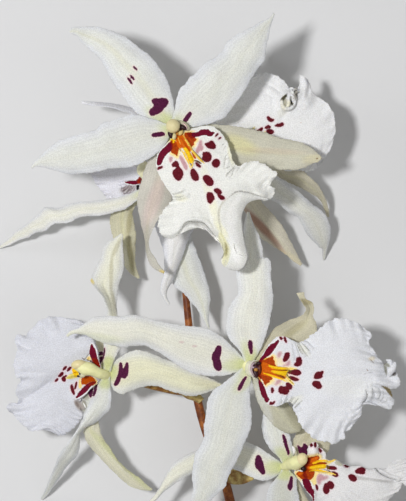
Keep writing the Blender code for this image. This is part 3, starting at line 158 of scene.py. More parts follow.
# Each tepal: left edge, right edge, heights of its middle line, rise of the right edge over the
# left, drop of both edges under the middle, and depth of the waves in its edges, all in
# millimetres but the plan points.
TEPALS = {
    # Bloom A, topmost, faces up
    "a_dorsal_sepal": dict(
        left=curve("""165.4,126 157,123 143,117.5 130,106 120,92 110,78 105,67 100,59 90,50 80,40.5
            76.5,35.6 71,33.4"""),
        right=curve("""171.5,121 173.5,113 173.5,102 170,88 165,76 158,65 150,56 140,48 130,40 120,34
            110,30 97,27 81,26.6 72,27.6 68.6,30.5"""),
        height=[60.3, 61.6, 62.0, 61.6, 60.5, 59.0, 57.5, 56.5, 57.5], rise=[0, 0, 0.5, 0.5, 0],
        drop=[0, 1.2, 2.0, 1.8, 1.0, 0.2], wave=0.25),
    "a_left_petal": dict(
        left=curve("""165.3,126.3 157,121 148,117.5 140,115 130,115 120,117 110,121 105,122 100,125
            97,129 90,131 80,134 70,137 60,140 50,147 42,154 35,161 31,167"""),
        right=curve("""166,134 165,145 158,152.5 150,158 140,164 130,167 110,169 90,173 80,174 70,174
            60,172 50,169 40,166.6 34.5,166.6 32.2,169"""),
        height=[62.4, 63.8, 64.6, 65.0, 65.0, 64.4, 63.4, 62.0, 60.0],
        rise=[0, -0.8, -1.4, -1.2, 0], drop=[0, 0.6, 1.2, 1.2, 0.9, 0.2], wave=0.4),
    "a_right_petal": dict(
        left=curve("""173.4,121.3 174.5,112.5 175.3,105 177,97 180,89 185,84 190,77 195,74 200,68
            206,62 215,57 222.5,51 226,43 230,39 240,33 250,28 260,22 270,17 273.4,12.8"""),
        right=curve("""179.8,126.6 190,127 205,125 215,122 225,117 232,108 240,98 245,90 252,78 260,66
            265,59 266,50 268,40 270.5,27 274.8,14"""),
        height=[62.4, 64.0, 65.2, 66.0, 66.3, 66.3, 66.0, 65.4, 64.0],
        rise=[0, -0.8, -1.2, -0.8, 0], drop=[0, 0.8, 1.4, 1.2, 0.8, 0.2], wave=0.5),
    "a_right_sepal": dict(
        left=curve("""178.2,125.6 190,124 203,123.4 212,124 225,125 240,127 255,130 270,134 280,138
            290,140 300,142 308,146 315,151 321,156.3"""),
        right=curve("""178.8,133.2 190,142 203,152 217,160 230,164 243,166.5 257,168 271,169.3 285,170
            297,169.8 305,167.3 312,164 318,162 321.6,158.6"""),
        height=[60.3, 59.8, 58.8, 57.6, 56.4, 55.4, 54.4, 53.4, 52.4], rise=[0, 0, 0, 0],
        drop=[0, 1.0, 2.0, 2.2, 2.0, 0.4], wave=0.2),
    "a_left_sepal": dict(
        left=curve("""166.3,132.6 158,145 150,157 144.5,170 140,186 137.2,203 139,215 142.5,229
            145,240 146,250 149,262 153,268 158,271 163.8,273.6"""),
        right=curve("""173.2,135.6 173,147 173,162 173.5,178 174,192 172,201 165,210 155,225 150.3,235
            148.6,241 149,247 155,258 160,266 164.8,271.6"""),
        height=[60.3, 59.6, 58.6, 57.2, 55.2, 52.8, 50.2, 48.2, 46.6],
        rise=[0, 0, 0, -1.0, 2.0, 5.0, 2.0, 0], drop=[0, 1.0, 2.0, 2.0, 0.6, 0, 1.0, 0.2],
        wave=0.2),
    # Bloom B, behind and to the right
    "b_right_sepal": dict(
        left=curve("""256.8,142 268,155 277,165 285,171 294,170.6 303,171 310,177 318,185 324,195
            327,203 329,211 329.2,216.5"""),
        right=curve("""255.6,148 263,160 271,170 279,177 290,183 297,186 305,190 312,194 318,198
            322,203 324.6,210 327.2,217"""),
        height=[30.2, 30.2, 29.0, 27.5, 25.5, 22.5, 18.5, 13.0, 7.0],
        rise=[0, -1.0, -3.0, -3.5, -2.0, 0], drop=[0, 0.8, 1.2, 1.0, 0.2], wave=0.2),
    "b_lower_petal": dict(
        left=curve("""254.6,147 265,162 272,171 278,178 285,182 292,187 300,193 308,200 315,206
            322,211 327,217 330,225 330.5,235 328.5,245 326.4,253 325,260"""),
        right=curve("""249.1,148 254,165 261,183 270,199 277,203 282,207 288,212 294,215 298,218
            302,225 306,232 311,239 316,244 319,247.6 321.5,248 322.3,254 323.2,260.4"""),
        height=[32.3, 33.0, 32.6, 31.2, 28.5, 24.5, 18.5, 10.5, 0.4], rise=[0, 1.0, 1.5, 1.0, 0],
        drop=[0, 1.0, 1.8, 1.8, 1.2, 0], wave=0.35),
    "b_left_sepal": dict(
        left=curve("""251.2,148.9 252,165 254,180 258,195 265,206 272,213 278,220 284,229 290,240
            296,252 302.2,264"""),
        right=curve("""246.3,146.8 240,165 237.5,185 240,202 245,212 250,220 256,230 262,239 268,243
            276,248 285,254 293,261 300.6,266"""),
        height=[30.2, 29.4, 28.2, 27.0, 25.2, 22.8, 19.8, 16.4, 12.5], rise=[0, 0, 0.5, 0.5, 0],
        drop=[0, 1.0, 1.8, 2.0, 1.4, 0.2], wave=0.2),
    "b_dorsal_sepal": dict(
        left=curve("244,141 228,130 212,118 198,108 184,100"),
        right=curve("247,136.6 238,118 225,104 210,97 195,95 184.5,97.6"),
        height=[30.2, 30.0, 28.4, 25.4, 22.0], rise=[0, 0], drop=[0, 1.0, 1.2, 0.2], wave=0.2),
    "b_upper_petal": dict(
        left=curve("248.2,135.6 238,117 233,95 232.5,75 237,55 245.5,42"),
        right=curve("254.4,136 257,118 258,98 257,80 254.5,62 248.3,42.4"),
        height=[32.3, 31.6, 28.5, 23.0, 15.0, 7.0, 0.4], rise=[0, 0], drop=[0, 1.0, 1.6, 1.2, 0],
        wave=0.3),
    # Bloom C, middle, faces up
    "c_dorsal_sepal": dict(
        left=curve("""241.6,361 236,352 225,339 215,332 205,328 190,326 175,324 160,321 145,317
            135,315 120,316 105,316 93,318 86,322 78,328 70,331 66,335.6"""),
        right=curve("""241.6,368.6 233,373 220,376 200,375 190,372 180,367 170,360 160,353 152,349
            145,346 135,346 122,347 110,345 100,342 90,337 80,334 73.5,334 67.6,337"""),
        height=[46.5, 48.0, 49.4, 50.4, 51.2, 51.8, 51.8, 51.2, 50.0], rise=[0, -0.5, -0.5, 0],
        drop=[0, 1.2, 2.0, 2.0, 1.6, 0.2], wave=0.25),
    "c_upper_petal": dict(
        left=curve("""247.4,358.6 240,350 232,343 228,336 226,330 226,322 228,310 232,302 237,295
            238,288 237,280 236,269 238,255 241,243 243,232 245,221 247,211.6"""),
        right=curve("""254.8,359.6 260,350 264,342 266,335 269,325 271,315 273,305 273,295 272,285
            271,272 270,260.5 267.6,257.8 264.4,258.4 263,250 261,242 258,233 254,225 249.4,212"""),
        height=[48.5, 49.8, 51.0, 51.8, 52.2, 51.8, 50.6, 49.0, 47.0], rise=[0, 0.5, 0.5, 0],
        drop=[0, 0.8, 1.4, 1.4, 0.8, 0.2], wave=0.4),
    "c_lower_petal": dict(
        left=curve("""244.8,370.8 232,376.5 222,384 212,392 207,402 206,415 204,425 203,440 199,448
            195,455 193,465 192,475 193,489 191.5,496 189.5,506 193.4,515"""),
        right=curve("""252.6,371.6 251.6,379 250,388 250,400 252,420 250,430 246,440 241,452 236,462
            232,470 228,478 226,485 222,490 216,495 209,503 196,516.4"""),
        height=[48.5, 49.8, 50.8, 51.4, 51.2, 50.4, 48.8, 46.4, 43.0], rise=[0, 0.5, 0.5, 0],
        drop=[0, 0.8, 1.5, 1.5, 0.9, 0.2], wave=0.4),
    "c_upper_sepal": dict(
        left=curve("""250.9,359.7 258.5,350 263,344 268,336 275,328 283,323 292,319 300,316 304.6,313
            306,309 302.6,303.6 299,298 296.2,293"""),
        right=curve("""255.7,365.3 268,357 281,351 295,347 307,341 316.8,331.5 317,326 315.4,321
            312.8,316 314.2,309 312,302 305.5,298.6 304,292"""),
        height=[46.4, 46.4, 46.0, 45.4, 44.6, 44.0, 44.6, 46.0, 47.4],
        rise=[0, 0, 1.0, 2.0, -1.0, 0], drop=[0, 1.2, 2.2, 2.2, 0.4, -0.8, 0.2], wave=0.2),
    "c_lower_sepal": dict(
        left=curve("254.6,366 262.5,375 270,383 278,392 286,401 294,411 300,420 302.6,427 301,431"),
        right=curve("""250.8,371.4 252.4,382 254.6,391 257.4,401 262,411 269,420.4 279,429.4 289,433.4
            297,432.6"""),
        height=[46.4, 46.2, 45.6, 44.8, 43.6, 42.4, 41.2, 40.2], rise=[0, 0, 0],
        drop=[0, 1.2, 2.2, 2.4, 1.6], wave=0.2),
    # Bloom D, behind and to the left
    "d_left_sepal": dict(
        left=curve("""144,186 138,190 125,195 108,199 95,201 80,202 70,204 58,208 44,208 40,213 35,217
            25,225 15,232 8,239 -2.6,247.3"""),
        right=curve("""145.6,192.6 137,200.4 125,209 115,212.4 105,215 95,216 82,217 67,223 55,224
            45,231 33,234 30,237 20,240 10,245 -2.2,249.7"""),
        height=[24.4, 27.0, 27.4, 26.0, 23.0, 19.0, 14.0, 7.8, 0.4], rise=[0, 1.0, 1.6, 1.0, 0],
        drop=[0, 1.0, 1.6, 1.4, 1.0, 0], wave=0.35),
    "d_upper_sepal": dict(
        left=curve("""155.6,181 162,170 163,158 162,140 155,122 147,114.5 137,109.6 128,106.8
            118,104.6 108,103 96,102 88,101.6 81,100.8"""),
        right=curve("""149.8,179.4 151,168 150,158 148,142 144,130 137,117.5 131,114 122,111 115,108.5
            106,106.8 96,106 90,105.4 82,103.6"""),
        height=[24.2, 24.0, 26.0, 29.5, 33.0, 35.0, 35.6, 35.4, 34.6],
        rise=[0, 0, 1.0, 3.0, 4.0, 3.0, 0], drop=[0, 0.6, 0.8, 0.8, 0.2], wave=0.2),
    "d_outer_petal": dict(
        left=curve("""146.4,190.4 130,199 116,207 110.6,214 110,221 111,230 114,240 120,247 124,258
            125.4,267 130,273 138,278.6"""),
        right=curve("""150,192.4 142,199 136.4,205 132.6,213 134,222 136,235 135.4,250 135.4,262
            137,270 140,278"""),
        height=[22.3, 21.8, 21.4, 21.0, 20.6, 19.8, 18.6, 17.0, 15.0], rise=[0, 0, 0.6, 0.6, 0],
        drop=[0, 0.8, 1.6, 1.8, 1.6, 0.3], wave=0.2),
    "d_dorsal_sepal": dict(
        left=curve("""149.2,191.9 150,205 152,217 155,228 160,240 163,250 164.4,262 164,272 161.4,282
            160.2,290 162,296.6 165.4,301.6 168.4,305.4"""),
        right=curve("""154.8,189.9 168,200 181,210 190,219 193.5,228 190,236 186,246 182,258 177,270
            172,282 167.4,290 166.6,296 168,300 170,303.6"""),
        height=[25.0, 27.4, 29.6, 31.0, 31.4, 31.0, 29.8, 28.2, 27.0], rise=[0, 0, -0.6, -1.0, 0],
        drop=[0, 1.0, 2.2, 2.4, 1.6, 0.3], wave=0.2),
    "d_inner_petal": dict(
        left=curve("""152.7,191.8 158,206 160,222 162,242 166,262 171.6,280 175,287 183,293 190,301
            197,309 203,320 208,328.4"""),
        right=curve("""156.7,187.6 172,198 183,212 189,228 191.6,238 195.4,248 200,260 205,275
            208.4,285 210.2,296 209.4,310 209,320 210,329.6"""),
        height=[22.6, 23.2, 23.6, 24.0, 24.0, 23.6, 23.0, 22.4, 21.6], rise=[0, 0, 0],
        drop=[0, 0.8, 1.4, 1.6, 1.2, 0.2], wave=0.35),
    # Bloom E, lower left, turned to the left
    "e_dorsal_sepal": dict(
        left=curve("""113.4,369.6 117,360 124,354.4 130,351.4 138,350 147,351.6 155,355 165,359
            175,362 185,367.6 200,374 212,379 221.6,384"""),
        right=curve("""112.4,376.6 111.6,385 114.5,390.6 121,394 130,391.4 140,387.6 150,386 160,387
            170,391 180,394 190,396 200,395 211,391 222,386.4"""),
        height=[34.3, 36.0, 37.4, 38.2, 38.6, 38.4, 38.0, 37.4, 36.6], rise=[0, -0.6, -0.6, 0],
        drop=[0, 1.6, 2.4, 2.2, 1.6, 0.3], wave=0.3),
    "e_upper_petal": dict(
        left=curve("""103.6,366.8 102.8,358 103.6,350 104,341 105,330 106.5,318 106.8,310 104.5,303
            101,295 95,288 90.4,281 94,272 96,266 100,260 101,256 103,249 107,243 113,239
            121.2,233.4"""),
        right=curve("""110.6,366.6 115,358 120,349 123,342 121,330 118,318 117,309 117,300 118,290
            120,282 123,272 124,262 123.4,252 122.6,244 123.2,234.4"""),
        height=[36.4, 37.6, 38.4, 38.8, 38.4, 37.4, 36.2, 35.0, 34.0],
        rise=[0, 0, -1.5, -3.0, 1.0, 1.0, 0], drop=[0, 0.8, 0.4, 0, 1.6, 1.8, 0.3], wave=0.35),
    "e_lower_petal": dict(
        left=curve("""102.6,380.4 97.4,386 93,395 88,405 83,415 78,428 70,440 62,450 56,462 51,475
            47,485 41,498.6"""),
        right=curve("""109.4,379.8 110,387 111.5,395 111.5,402 109,410 104,415 97,422 85,428 80.6,433
            80,440 79,450 76,457 70,463 65,469 60,477 55,484 50,492 42.6,500.2"""),
        height=[36.2, 36.3, 36.2, 35.4, 33.0, 28.2, 21.0, 11.5, 0.4],
        rise=[0, -0.5, -1.5, -2.0, -1.5, 0], drop=[0, 1.2, 1.8, 1.2, 0.8, 0], wave=0.35),
    "e_lower_sepal": dict(
        left=curve("""104.2,378.7 99,392 92,408 86,422 83.4,431 86,440 93,450 102,460 112,470 122,480
            132,487 142,490 151.2,490.6"""),
        right=curve("""108,379.5 107,392 103,407 98.8,421 100,430 103.4,438 110,448 118,460 128,470
            140,478 147,485 152.6,489"""),
        height=[34.2, 32.6, 30.8, 29.0, 27.2, 25.2, 22.8, 20.0, 17.0], rise=[0, 0, 1.0, 1.0, 0],
        drop=[0, 1.0, 1.8, 1.8, 1.4, 0.2], wave=0.2),
    "e_upper_sepal": dict(
        left=curve("100.6,368.6 96.4,356 96,344 97,334 98.6,324 100.6,319"),
        right=curve("103.8,365.6 104.4,352 104.6,341 105.6,330 105,323 103,318.6"),
        height=[34.2, 31.4, 27.6, 22.8, 17.0, 11.0], rise=[0, 0], drop=[0, 1.0, 1.0, 0.2],
        wave=0.1),
    # Bloom F, lower right
    "f_dorsal_sepal": dict(
        left=curve("""279.4,464.2 270,455.4 262,449 255,445 246,442 232,441.4 215,444 200,449 190,453
            180,459 170,468 164,478 160,487 149,501 138,511"""),
        right=curve("""279.8,471.4 272,478 265,481 255,479 245,474 236,470 222,468.4 208,470 193,473.5
            182,479 172,486 163,492.5 155,501 140.4,513"""),
        height=[28.3, 29.8, 31.2, 32.4, 33.2, 33.6, 33.4, 32.8, 32.0], rise=[0, 0, 0.6, 0],
        drop=[0, 1.6, 2.2, 1.8, 1.4, 0.2], wave=0.25),
    "f_upper_petal": dict(
        left=curve("283.4,460.6 275,454 268,446 264,438 262,430 262,420 264.4,411 270,402"),
        right=curve("289,460.6 294,455 292.5,446 290,436 287,425 282,413 274,402.4"),
        height=[30.4, 31.6, 32.6, 33.2, 33.4, 33.2, 32.6], rise=[0, 0.6, 0.6, 0],
        drop=[0, 1.0, 1.4, 1.0, 0.2], wave=0.35),
    "f_lower_petal": dict(
        left=curve("""281.8,473.4 277,478 270,485 267,493 266,501 265,515 266.4,530 271,545 277,558
            282,567"""),
        right=curve("""288.6,474 296,478 297,486 298.5,495 300.5,505 302,518 301,532 296.6,546 290,558
            284.6,567.6"""),
        height=[30.4, 31.8, 32.4, 31.8, 29.4, 24.8, 18.0, 9.6, 0.4], rise=[0, 0.5, 0.5, 0],
        drop=[0, 1.0, 1.4, 1.2, 0.8, 0], wave=0.4),
    "f_upper_sepal": dict(
        left=curve("288.9,462.2 291.5,450 293.4,440 297.6,431 306,422 317,413 328,404.6"),
        right=curve("292.1,465.2 306,461 320,458.6 327,453 331,443 332.4,431 331.4,418 330,405.4"),
        height=[28.3, 29.6, 31.0, 32.0, 32.6, 32.8, 32.6], rise=[0, 0, 0],
        drop=[0, 1.4, 2.0, 1.6, 0.2], wave=0.2),
    "f_lower_sepal": dict(
        left=curve("291.5,469.6 300,484 307,498 316,512 327,524 338.6,534"),
        right=curve("288.1,473.2 292,488 297,502 304,516 315,529 337,536"),
        height=[28.3, 28.0, 27.4, 26.4, 25.0, 23.2], rise=[0, 0], drop=[0, 1.2, 1.8, 1.4, 0.2],
        wave=0.2),
}

# Each lip: its two side edges and its middle line from the column outwards, the front edge from
# side to side, heights of the middle line, drop of the side edges, depth of the waves, and folds
# as points, height and width.
LIPS = {
    "a_lip": dict(
        left=curve("""173,136.8 165,145 158,153.5 156,161 157,170 160,177 163.4,183 168,190 172,196
            172.6,199 167,205.6 161.6,213 158.4,220 158.2,227 160.6,233.4 164,237.4"""),
        front=curve("""164,237.4 172,238.6 181,234 190,229.6 200,228 208,232 216,240 222,247 224,253
            221,261 228,269 236,271 243.4,269 247.4,263 248,255 246,245 243,230 242,215 245,205
            250,199.6 258,199.4 267,200.6 271.4,198.4 275,193"""),
        right=curve("""181.2,131.6 190,129 200,126.6 210,125.6 218,129.6 225,138 229,146 231.4,155
            234,162.6 237.6,166 245,163 255,161 262,163 270,168 277.4,174.6 273,180 270.4,184.6
            274,188.4 275,193"""),
        middle=curve("177,134.2 184,146 194,160 203,176 211,192 219,208 224,225 229,245 236,271"),
        height=[64.2, 66.2, 67.4, 68.0, 68.2, 68.4, 68.6, 68.8, 67.6, 66.0],
        drop=[0, 0.6, 1.2, 1.4, 1.0, 0.6, 1.0], wave=0.6, seed=3,
        folds=lines("""262,196 250,194.5 238,197 228,204 225,214 228,232 233,250 237,266: 3.4 8.5
            / 164,234 176,231 188,222 198,220 208,226 218,240: 1.6 7""")),
    "b_lip": dict(
        left=curve("""257.2,133.8 255,128.8 249,128.6 240,128.6 226,127 214,119 215,106 226,94 238,87
            250,80"""),
        front=curve("""250,80 255,77 260,74 266,73 275,75 282,79 288,86 292,91 297,89 299.8,82
            299.6,74.6 302,75.4 306.4,78.4 309.6,83 311.6,92 320,98 328,104 333,112 335.3,122
            335.3,132 333,142 329,152 322,162"""),
        right=curve("258.4,141.6 268,148 280,157 291,166 303,170.8 308,171 315,169 322,162"),
        middle=curve("257.9,137.7 268,128 280,116 292,103 298.6,89.6 299.6,74.6"),
        height=[35.6, 37.4, 38.6, 39.2, 39.4, 39.2, 38.6, 37.6], drop=[0, 0.4, 0.8, 0.8, 1.2],
        wave=0.5, seed=5,
        folds=lines("""284,108 282,101 286,95 293,95 294,102 289,107: 1.8 3.5
            / 302,78 303,90 306,102: 1.6 5""")),
    "c_lip": dict(
        left=curve("""258.4,361.6 264,352 271,342 278,336.6 285,336.6 292,340 298,342.4 303.4,341
            310,336 318,330 325,323.4 332,319.4 341,318 350,320 359,323.6 366,329.6"""),
        front=curve("""366,329.6 372.4,336 368.6,341.6 373,349 376.4,354 380,360 385,363.6 390,360.4
            395,362 395.6,370 399,378 400,383 396.6,388.6 390,389 391.4,393 394,400 390,409.6
            383,407.4 375,405.4 367,404.4 362.4,406 361.4,415 357,420 353,426"""),
        right=curve("""257.6,374.6 258.2,380 258.8,386 260.4,392 263.2,398.4 267.4,403.8 275,406.6
            281,405 286,402.6 290.4,402 293,408 297,417 301,426 306,431.6 312.4,437.4 319,441
            326,441.4 332,444 337,443 341,440 345.4,437.6 344.4,433 349,430 353,426"""),
        middle=curve("258,368 270,369.6 285,371.5 300,373 320,375 345,377 370,379 400,383"),
        height=[50.6, 52.0, 53.2, 54.2, 55.0, 55.6, 56.0, 56.0, 55.4, 54.4],
        drop=[0, -0.6, -0.4, 0.8, 1.2, 1.2, 1.6], wave=0.7, seed=7,
        folds=lines("386,364 384,374 392,378: -1.6 5 / 362,402 368,392 378,386 388,389: 1.8 6")),
    "d_lip": dict(
        left=curve("144.2,176.6 138,169 129,161 117,153 104,149"),
        front=curve("104,149 95,154 90,163 90,172 93,178.4 97,185.4 102.6,192.4 108,199.4"),
        right=curve("144.4,182.8 139.6,188.4 133,193.4 126,197.4 117,201 108,199.4"),
        middle=curve("144.2,179.8 130,177 112,174 90,172"),
        height=[25.4, 22.6, 20.6, 19.8, 19.4], drop=[0, 0.4, 0.8, 0.8], wave=0.4, seed=9, folds=[]),
    "e_lip": dict(
        left=curve("99.8,367.2 99,356 96.4,345 93,339.4 90,332 85,323.4"),
        front=curve("""85,323.4 78,319.6 70,318.4 60,317.4 52,316 46,318 40,320 35,325 30,331 23,336
            20,334 16,335 15,340 17,352 15,358 13,366 15,373 18,378.6 21,376 20,382 17,386 16,394
            18,402 10,403 6,407.6 10,411 14,416 20,422 26,428 32,431 40,430.4 48,430.4 55,434"""),
        right=curve("""99.2,379.6 93.6,386.4 87.6,391.6 82,397 80,402 80.6,409 83,414.6 79.6,421
            74,428 67,433 61,435.4 55,434"""),
        middle=curve("99.7,373.4 85,373.4 70,375 55,375.6 38,376 21,376"),
        height=[33.4, 34.2, 35.2, 36.0, 36.6, 36.6, 36.0, 35.2],
        drop=[-5.0, -4.3, -1.0, 0.6, 1.2, 1.6], wave=0.7, seed=11,
        folds=lines("58,379 42,389 24,399: -1.8 7 / 60,372 44,367 26,364: 0.9 10")),
    "f_lip": dict(
        left=curve("""296,462.8 302.6,460 307,455 307.7,448.6 310.2,444.2 313.8,441.8 317,443
            318.6,447.4 322.2,448.8 325,452.6 325.8,456.6 325.6,459.6 329.6,460.6 335,459.2
            340.8,462.6 347,465.6 360,466 370,469.4 376,468 384.6,469 390,463.6 397,459.6
            404,458.8"""),
        front=curve("""404,458.8 412,459.6 418,463 421.4,469 421,475 416,481 409,485.6 404.6,485.4
            402.6,482.6 401,487 397,492 391,496.8 388,501 387,509 385,517 380,524"""),
        right=curve("""293.8,472.8 299.4,481 305,489 311.6,497.6 316,505 323,511 331,512.6 338,515
            343,522 350,529 360,532.6 370,531 380,524"""),
        middle=curve("295,467.8 312,466.6 330,468.4 352,471.4 378,473.6 402,472 421.4,469"),
        height=[32.2, 34.4, 36.2, 37.2, 37.6, 37.4, 36.8, 36.0],
        drop=[-0.8, -2.8, -0.8, 0.8, 1.2, 1.4], wave=0.25, seed=13,
        folds=lines("352,468 372,471 394,481: -1.8 6")),
}

# Each callus: middle line on the lip, and half widths in grid units.
CALLI = {
    "a_callus": dict(line=curve("180.5,138 187,148 194,158 200,166"), half=[3.0, 6.0, 7.0, 5.5]),
    "b_callus": dict(line=curve("263.5,133.4 267,130 271,126"), half=[2.4, 3.4, 3.0]),
    "c_callus": dict(line=curve("263,369 271,370 280,371.4 289,373.6"), half=[3.4, 5.4, 6.0, 5.0]),
    "d_callus": dict(line=curve("142.4,178.6 138.5,178 134,176.8"), half=[2.4, 3.2, 2.8]),
    "e_callus": dict(line=curve("84,373 78,373.4 71,375 66,376.6"), half=[4.0, 5.0, 5.0, 3.6]),
    "f_callus": dict(line=curve("303,466 312,464.6 322,466 331,468.6"), half=[3.6, 6.0, 7.0, 5.5]),
}

# Where each bloom's column stands: its tepals reach towards this plan point.
FEET = {"a": (172, 128.4), "b": (250.4, 141.4), "c": (248, 365), "d": (150.2, 185.6),
        "e": (107.2, 373), "f": (285.8, 467.4)}

# Stem and flower stalks: plan points with heights, and radii in millimetres.
STEM = dict(
    line=curve("""176,192,19 177.6,212,17.2 181,245,15.8 186,297,15 189,326,14.5 193,362,14
        197,397,13.4 205,428,12.6 215.5,456,11.8 226,485,10.9 230,501,10.3 239,540,8.8 249,590,6.4
        258,640,3.9 265,680,2.4 268,700,2.1 271,722,2.1"""),
    radius=[1.25, 1.3, 1.4, 1.5, 1.6, 1.7, 1.8, 1.9, 1.95, 2.05, 2.1, 2.15, 2.2, 2.25, 2.3, 2.3, 2.3])

STALKS = {
    "a_stalk": dict(
        line=curve("176,189.4,19.8 176,178,28 175.4,163,38 174,147,48 172.4,132,55.4"),
        radius=[1.2, 1.2, 1.3, 1.6, 1.7]),
    "b_stalk": dict(
        line=curve("184,222,16.8 202,206,17 226,178,20 243,153,23.4 248.4,144,24.9"),
        radius=[1.1, 1.2, 1.3, 1.5, 1.5]),
    "d_stalk": dict(
        line=curve("173.4,233,16.2 167,221,16.6 158,204,16.8 151.8,190,17.2"),
        radius=[1.1, 1.2, 1.4, 1.5]),
    "c_stalk": dict(
        line=curve("196.8,337.4,14.8 210,343.6,24 230,356,34.6 245.6,364.6,41.4"),
        radius=[1.1, 1.2, 1.5, 1.6]),
    "e_stalk": dict(
        line=curve("191,394,13.6 174,391.6,18.4 154,387,23.6 134,381,27.4 112,374,30.2"),
        radius=[1.1, 1.2, 1.3, 1.5, 1.6]),
    "f_stalk": dict(
        line=curve("228.4,476.6,12.4 242,477,15.6 258,475,19.4 272,471,22.4 281.6,468.2,24.2"),
        radius=[1.1, 1.2, 1.4, 1.6, 1.6]),
}

# Bracts at the stalks' feet: edges and heights.
BRACTS = {
    "bract_c": dict(
        left=curve("194,331.4 203,334 213,340 219,345"),
        right=curve("192.4,344 202,349 212,349.6 218.6,346.8"),
        height=[11.6, 14.6, 18.6, 22.6]),
    "bract_e": dict(
        left=curve("204,399 197,392.6 189,389.6 179,390.4"),
        right=curve("199,403.4 193,400.4 187,398.6 180,393.4"),
        height=[17.2, 17.6, 19.4, 21.4]),
    "bract_f": dict(
        left=curve("220.6,470 230,467.6 241,470 254,477"),
        right=curve("222,479.6 232,484 243,484 253.4,479.6"),
        height=[15.6, 17.0, 19.8, 23.4]),
}


def resample(points, places):
    """Smooth curve through the points, read at places from 0 to 1 of its length."""
    points = np.asarray(points, float)
    if points.ndim == 1:
        points = points[:, None]
    if len(points) == 1:
        return np.repeat(points, len(places), axis=0)
    return hermite(points, chord(points), np.asarray(places, float))


def chord(points):
    """Places of points along their line, from 0 to 1."""
    steps = np.linalg.norm(np.diff(points, axis=0), axis=1) + 1e-9
    along = np.concatenate([[0.0], np.cumsum(steps)])
    return along / along[-1]


def hermite(points, at, places):
    """Cubic curve through points that stand at the values at, read at places."""
    slopes = np.diff(points, axis=0) / np.diff(at)[:, None]
    tangents = np.empty_like(points)
    tangents[0] = slopes[0]
    tangents[-1] = slopes[-1]
    before = np.diff(at)[:-1, None]
    after = np.diff(at)[1:, None]
    tangents[1:-1] = (slopes[:-1] * after + slopes[1:] * before) / (before + after)
    cell = np.clip(np.searchsorted(at, places, side="right") - 1, 0, len(at) - 2)
    width = np.diff(at)[cell]
    x = ((places - at[cell]) / width)[:, None]
    width = width[:, None]
    return (
        (2 * x**3 - 3 * x**2 + 1) * points[cell]
        + (x**3 - 2 * x**2 + x) * width * tangents[cell]
        + (3 * x**2 - 2 * x**3) * points[cell + 1]
        + (x**3 - x**2) * width * tangents[cell + 1]
    )


def profile(values, places):
    """Evenly spaced values, read smoothly at places from 0 to 1."""
    values = np.asarray(values, float)
    if len(values) == 1:
        return np.full(len(places), values[0])
    at = np.linspace(0.0, 1.0, len(values))
    return hermite(values[:, None], at, np.asarray(places, float))[:, 0]


def to_world(plan):
    """Plan points with heights in millimetres, to metres."""
    plan = np.asarray(plan, float)
    z = plan[..., 2] / 1000.0
    scale = UNIT * (VIEW_HEIGHT - z) / (VIEW_HEIGHT - GRID_HEIGHT)
    x = (plan[..., 0] - GRID_MIDDLE[0]) * scale - ORIGIN_AT[0]
    y = (GRID_MIDDLE[1] - plan[..., 1]) * scale - ORIGIN_AT[1]
    return np.stack([x, y, z], axis=-1)


def patch(left, right, near, far, along, across):
    """Surface spanned by four edges, as plan points: rows run from near to far."""
    t = along[:, None, None]
    s = across[None, :, None]
    sides = (1 - s) * left[:, None] + s * right[:, None]
    ends = (1 - t) * near[None] + t * far[None]
    corners = (
        (1 - s) * (1 - t) * left[0]
        + s * (1 - t) * right[0]
        + (1 - s) * t * left[-1]
        + s * t * right[-1]
    )
    return sides + ends - corners


def distance_to(line, plan):
    """Distance of plan points from a line of plan points."""
    line = resample(line, np.linspace(0, 1, LINE_SAMPLES))
    gaps = np.linalg.norm(plan[..., None, :] - line, axis=-1)
    return gaps.min(axis=-1)


def edge_waves(along, across, depth, seed):
    """Shallow waves that grow towards both side edges."""
    draw = np.random.default_rng(seed)
    first = draw.uniform(0, 2 * math.pi, 4)
    t = along[:, None]
    s = across[None, :]
    low = np.sin(2 * math.pi * 2.3 * t + first[0]) + 0.6 * np.sin(2 * math.pi * 4.1 * t + first[1])
    high = np.sin(2 * math.pi * 2.6 * t + first[2]) + 0.6 * np.sin(2 * math.pi * 3.7 * t + first[3])
    toward_left = np.clip(1 - 2 * s, 0, 1) ** 2
    toward_right = np.clip(2 * s - 1, 0, 1) ** 2
    ends = np.sin(math.pi * np.clip(t, 0, 1))
    return depth * ends * (toward_left * low + toward_right * high)


def tepal_surface(shape, steps, seed):
    """Plan points with heights between two edges."""
    along = np.linspace(0, 1, steps[0] + 1)
    across = np.linspace(0, 1, steps[1] + 1)
    left = resample(shape["left"], along)
    right = resample(shape["right"], along)
    near = left[0] + across[:, None] * (right[0] - left[0])
    far = left[-1] + across[:, None] * (right[-1] - left[-1])
    plan = patch(left, right, near, far, along, across)
    side = 2 * across[None, :] - 1
    height = profile(shape["height"], along)[:, None]
    height = height + profile(shape["rise"], along)[:, None] * side
    height = height - profile(shape["drop"], along)[:, None] * side**2
    height = height + edge_waves(along, across, shape["wave"], seed)
    height = np.maximum(height, LOWEST)
    return np.concatenate([plan, height[..., None]], axis=-1)


def lip_plan(shape, along, half):
    """Two patches side by side, which meet on the lip's middle line."""
    across = np.linspace(0, 1, half + 1)
    left = resample(shape["left"], along)
    right = resample(shape["right"], along)
    middle = resample(shape["middle"], along)
    tip = shape["front"].index(shape["middle"][-1])
    far_left = resample(shape["front"][: tip + 1], across)
    far_right = resample(shape["front"][tip:], across)
    near_left = left[0] + across[:, None] * (middle[0] - left[0])
    near_right = middle[0] + across[:, None] * (right[0] - middle[0])
    one = patch(left, middle, near_left, far_left, along, across)
    other = patch(middle, right, near_right, far_right, along, across)
    return np.concatenate([one, other[:, 1:]], axis=1)


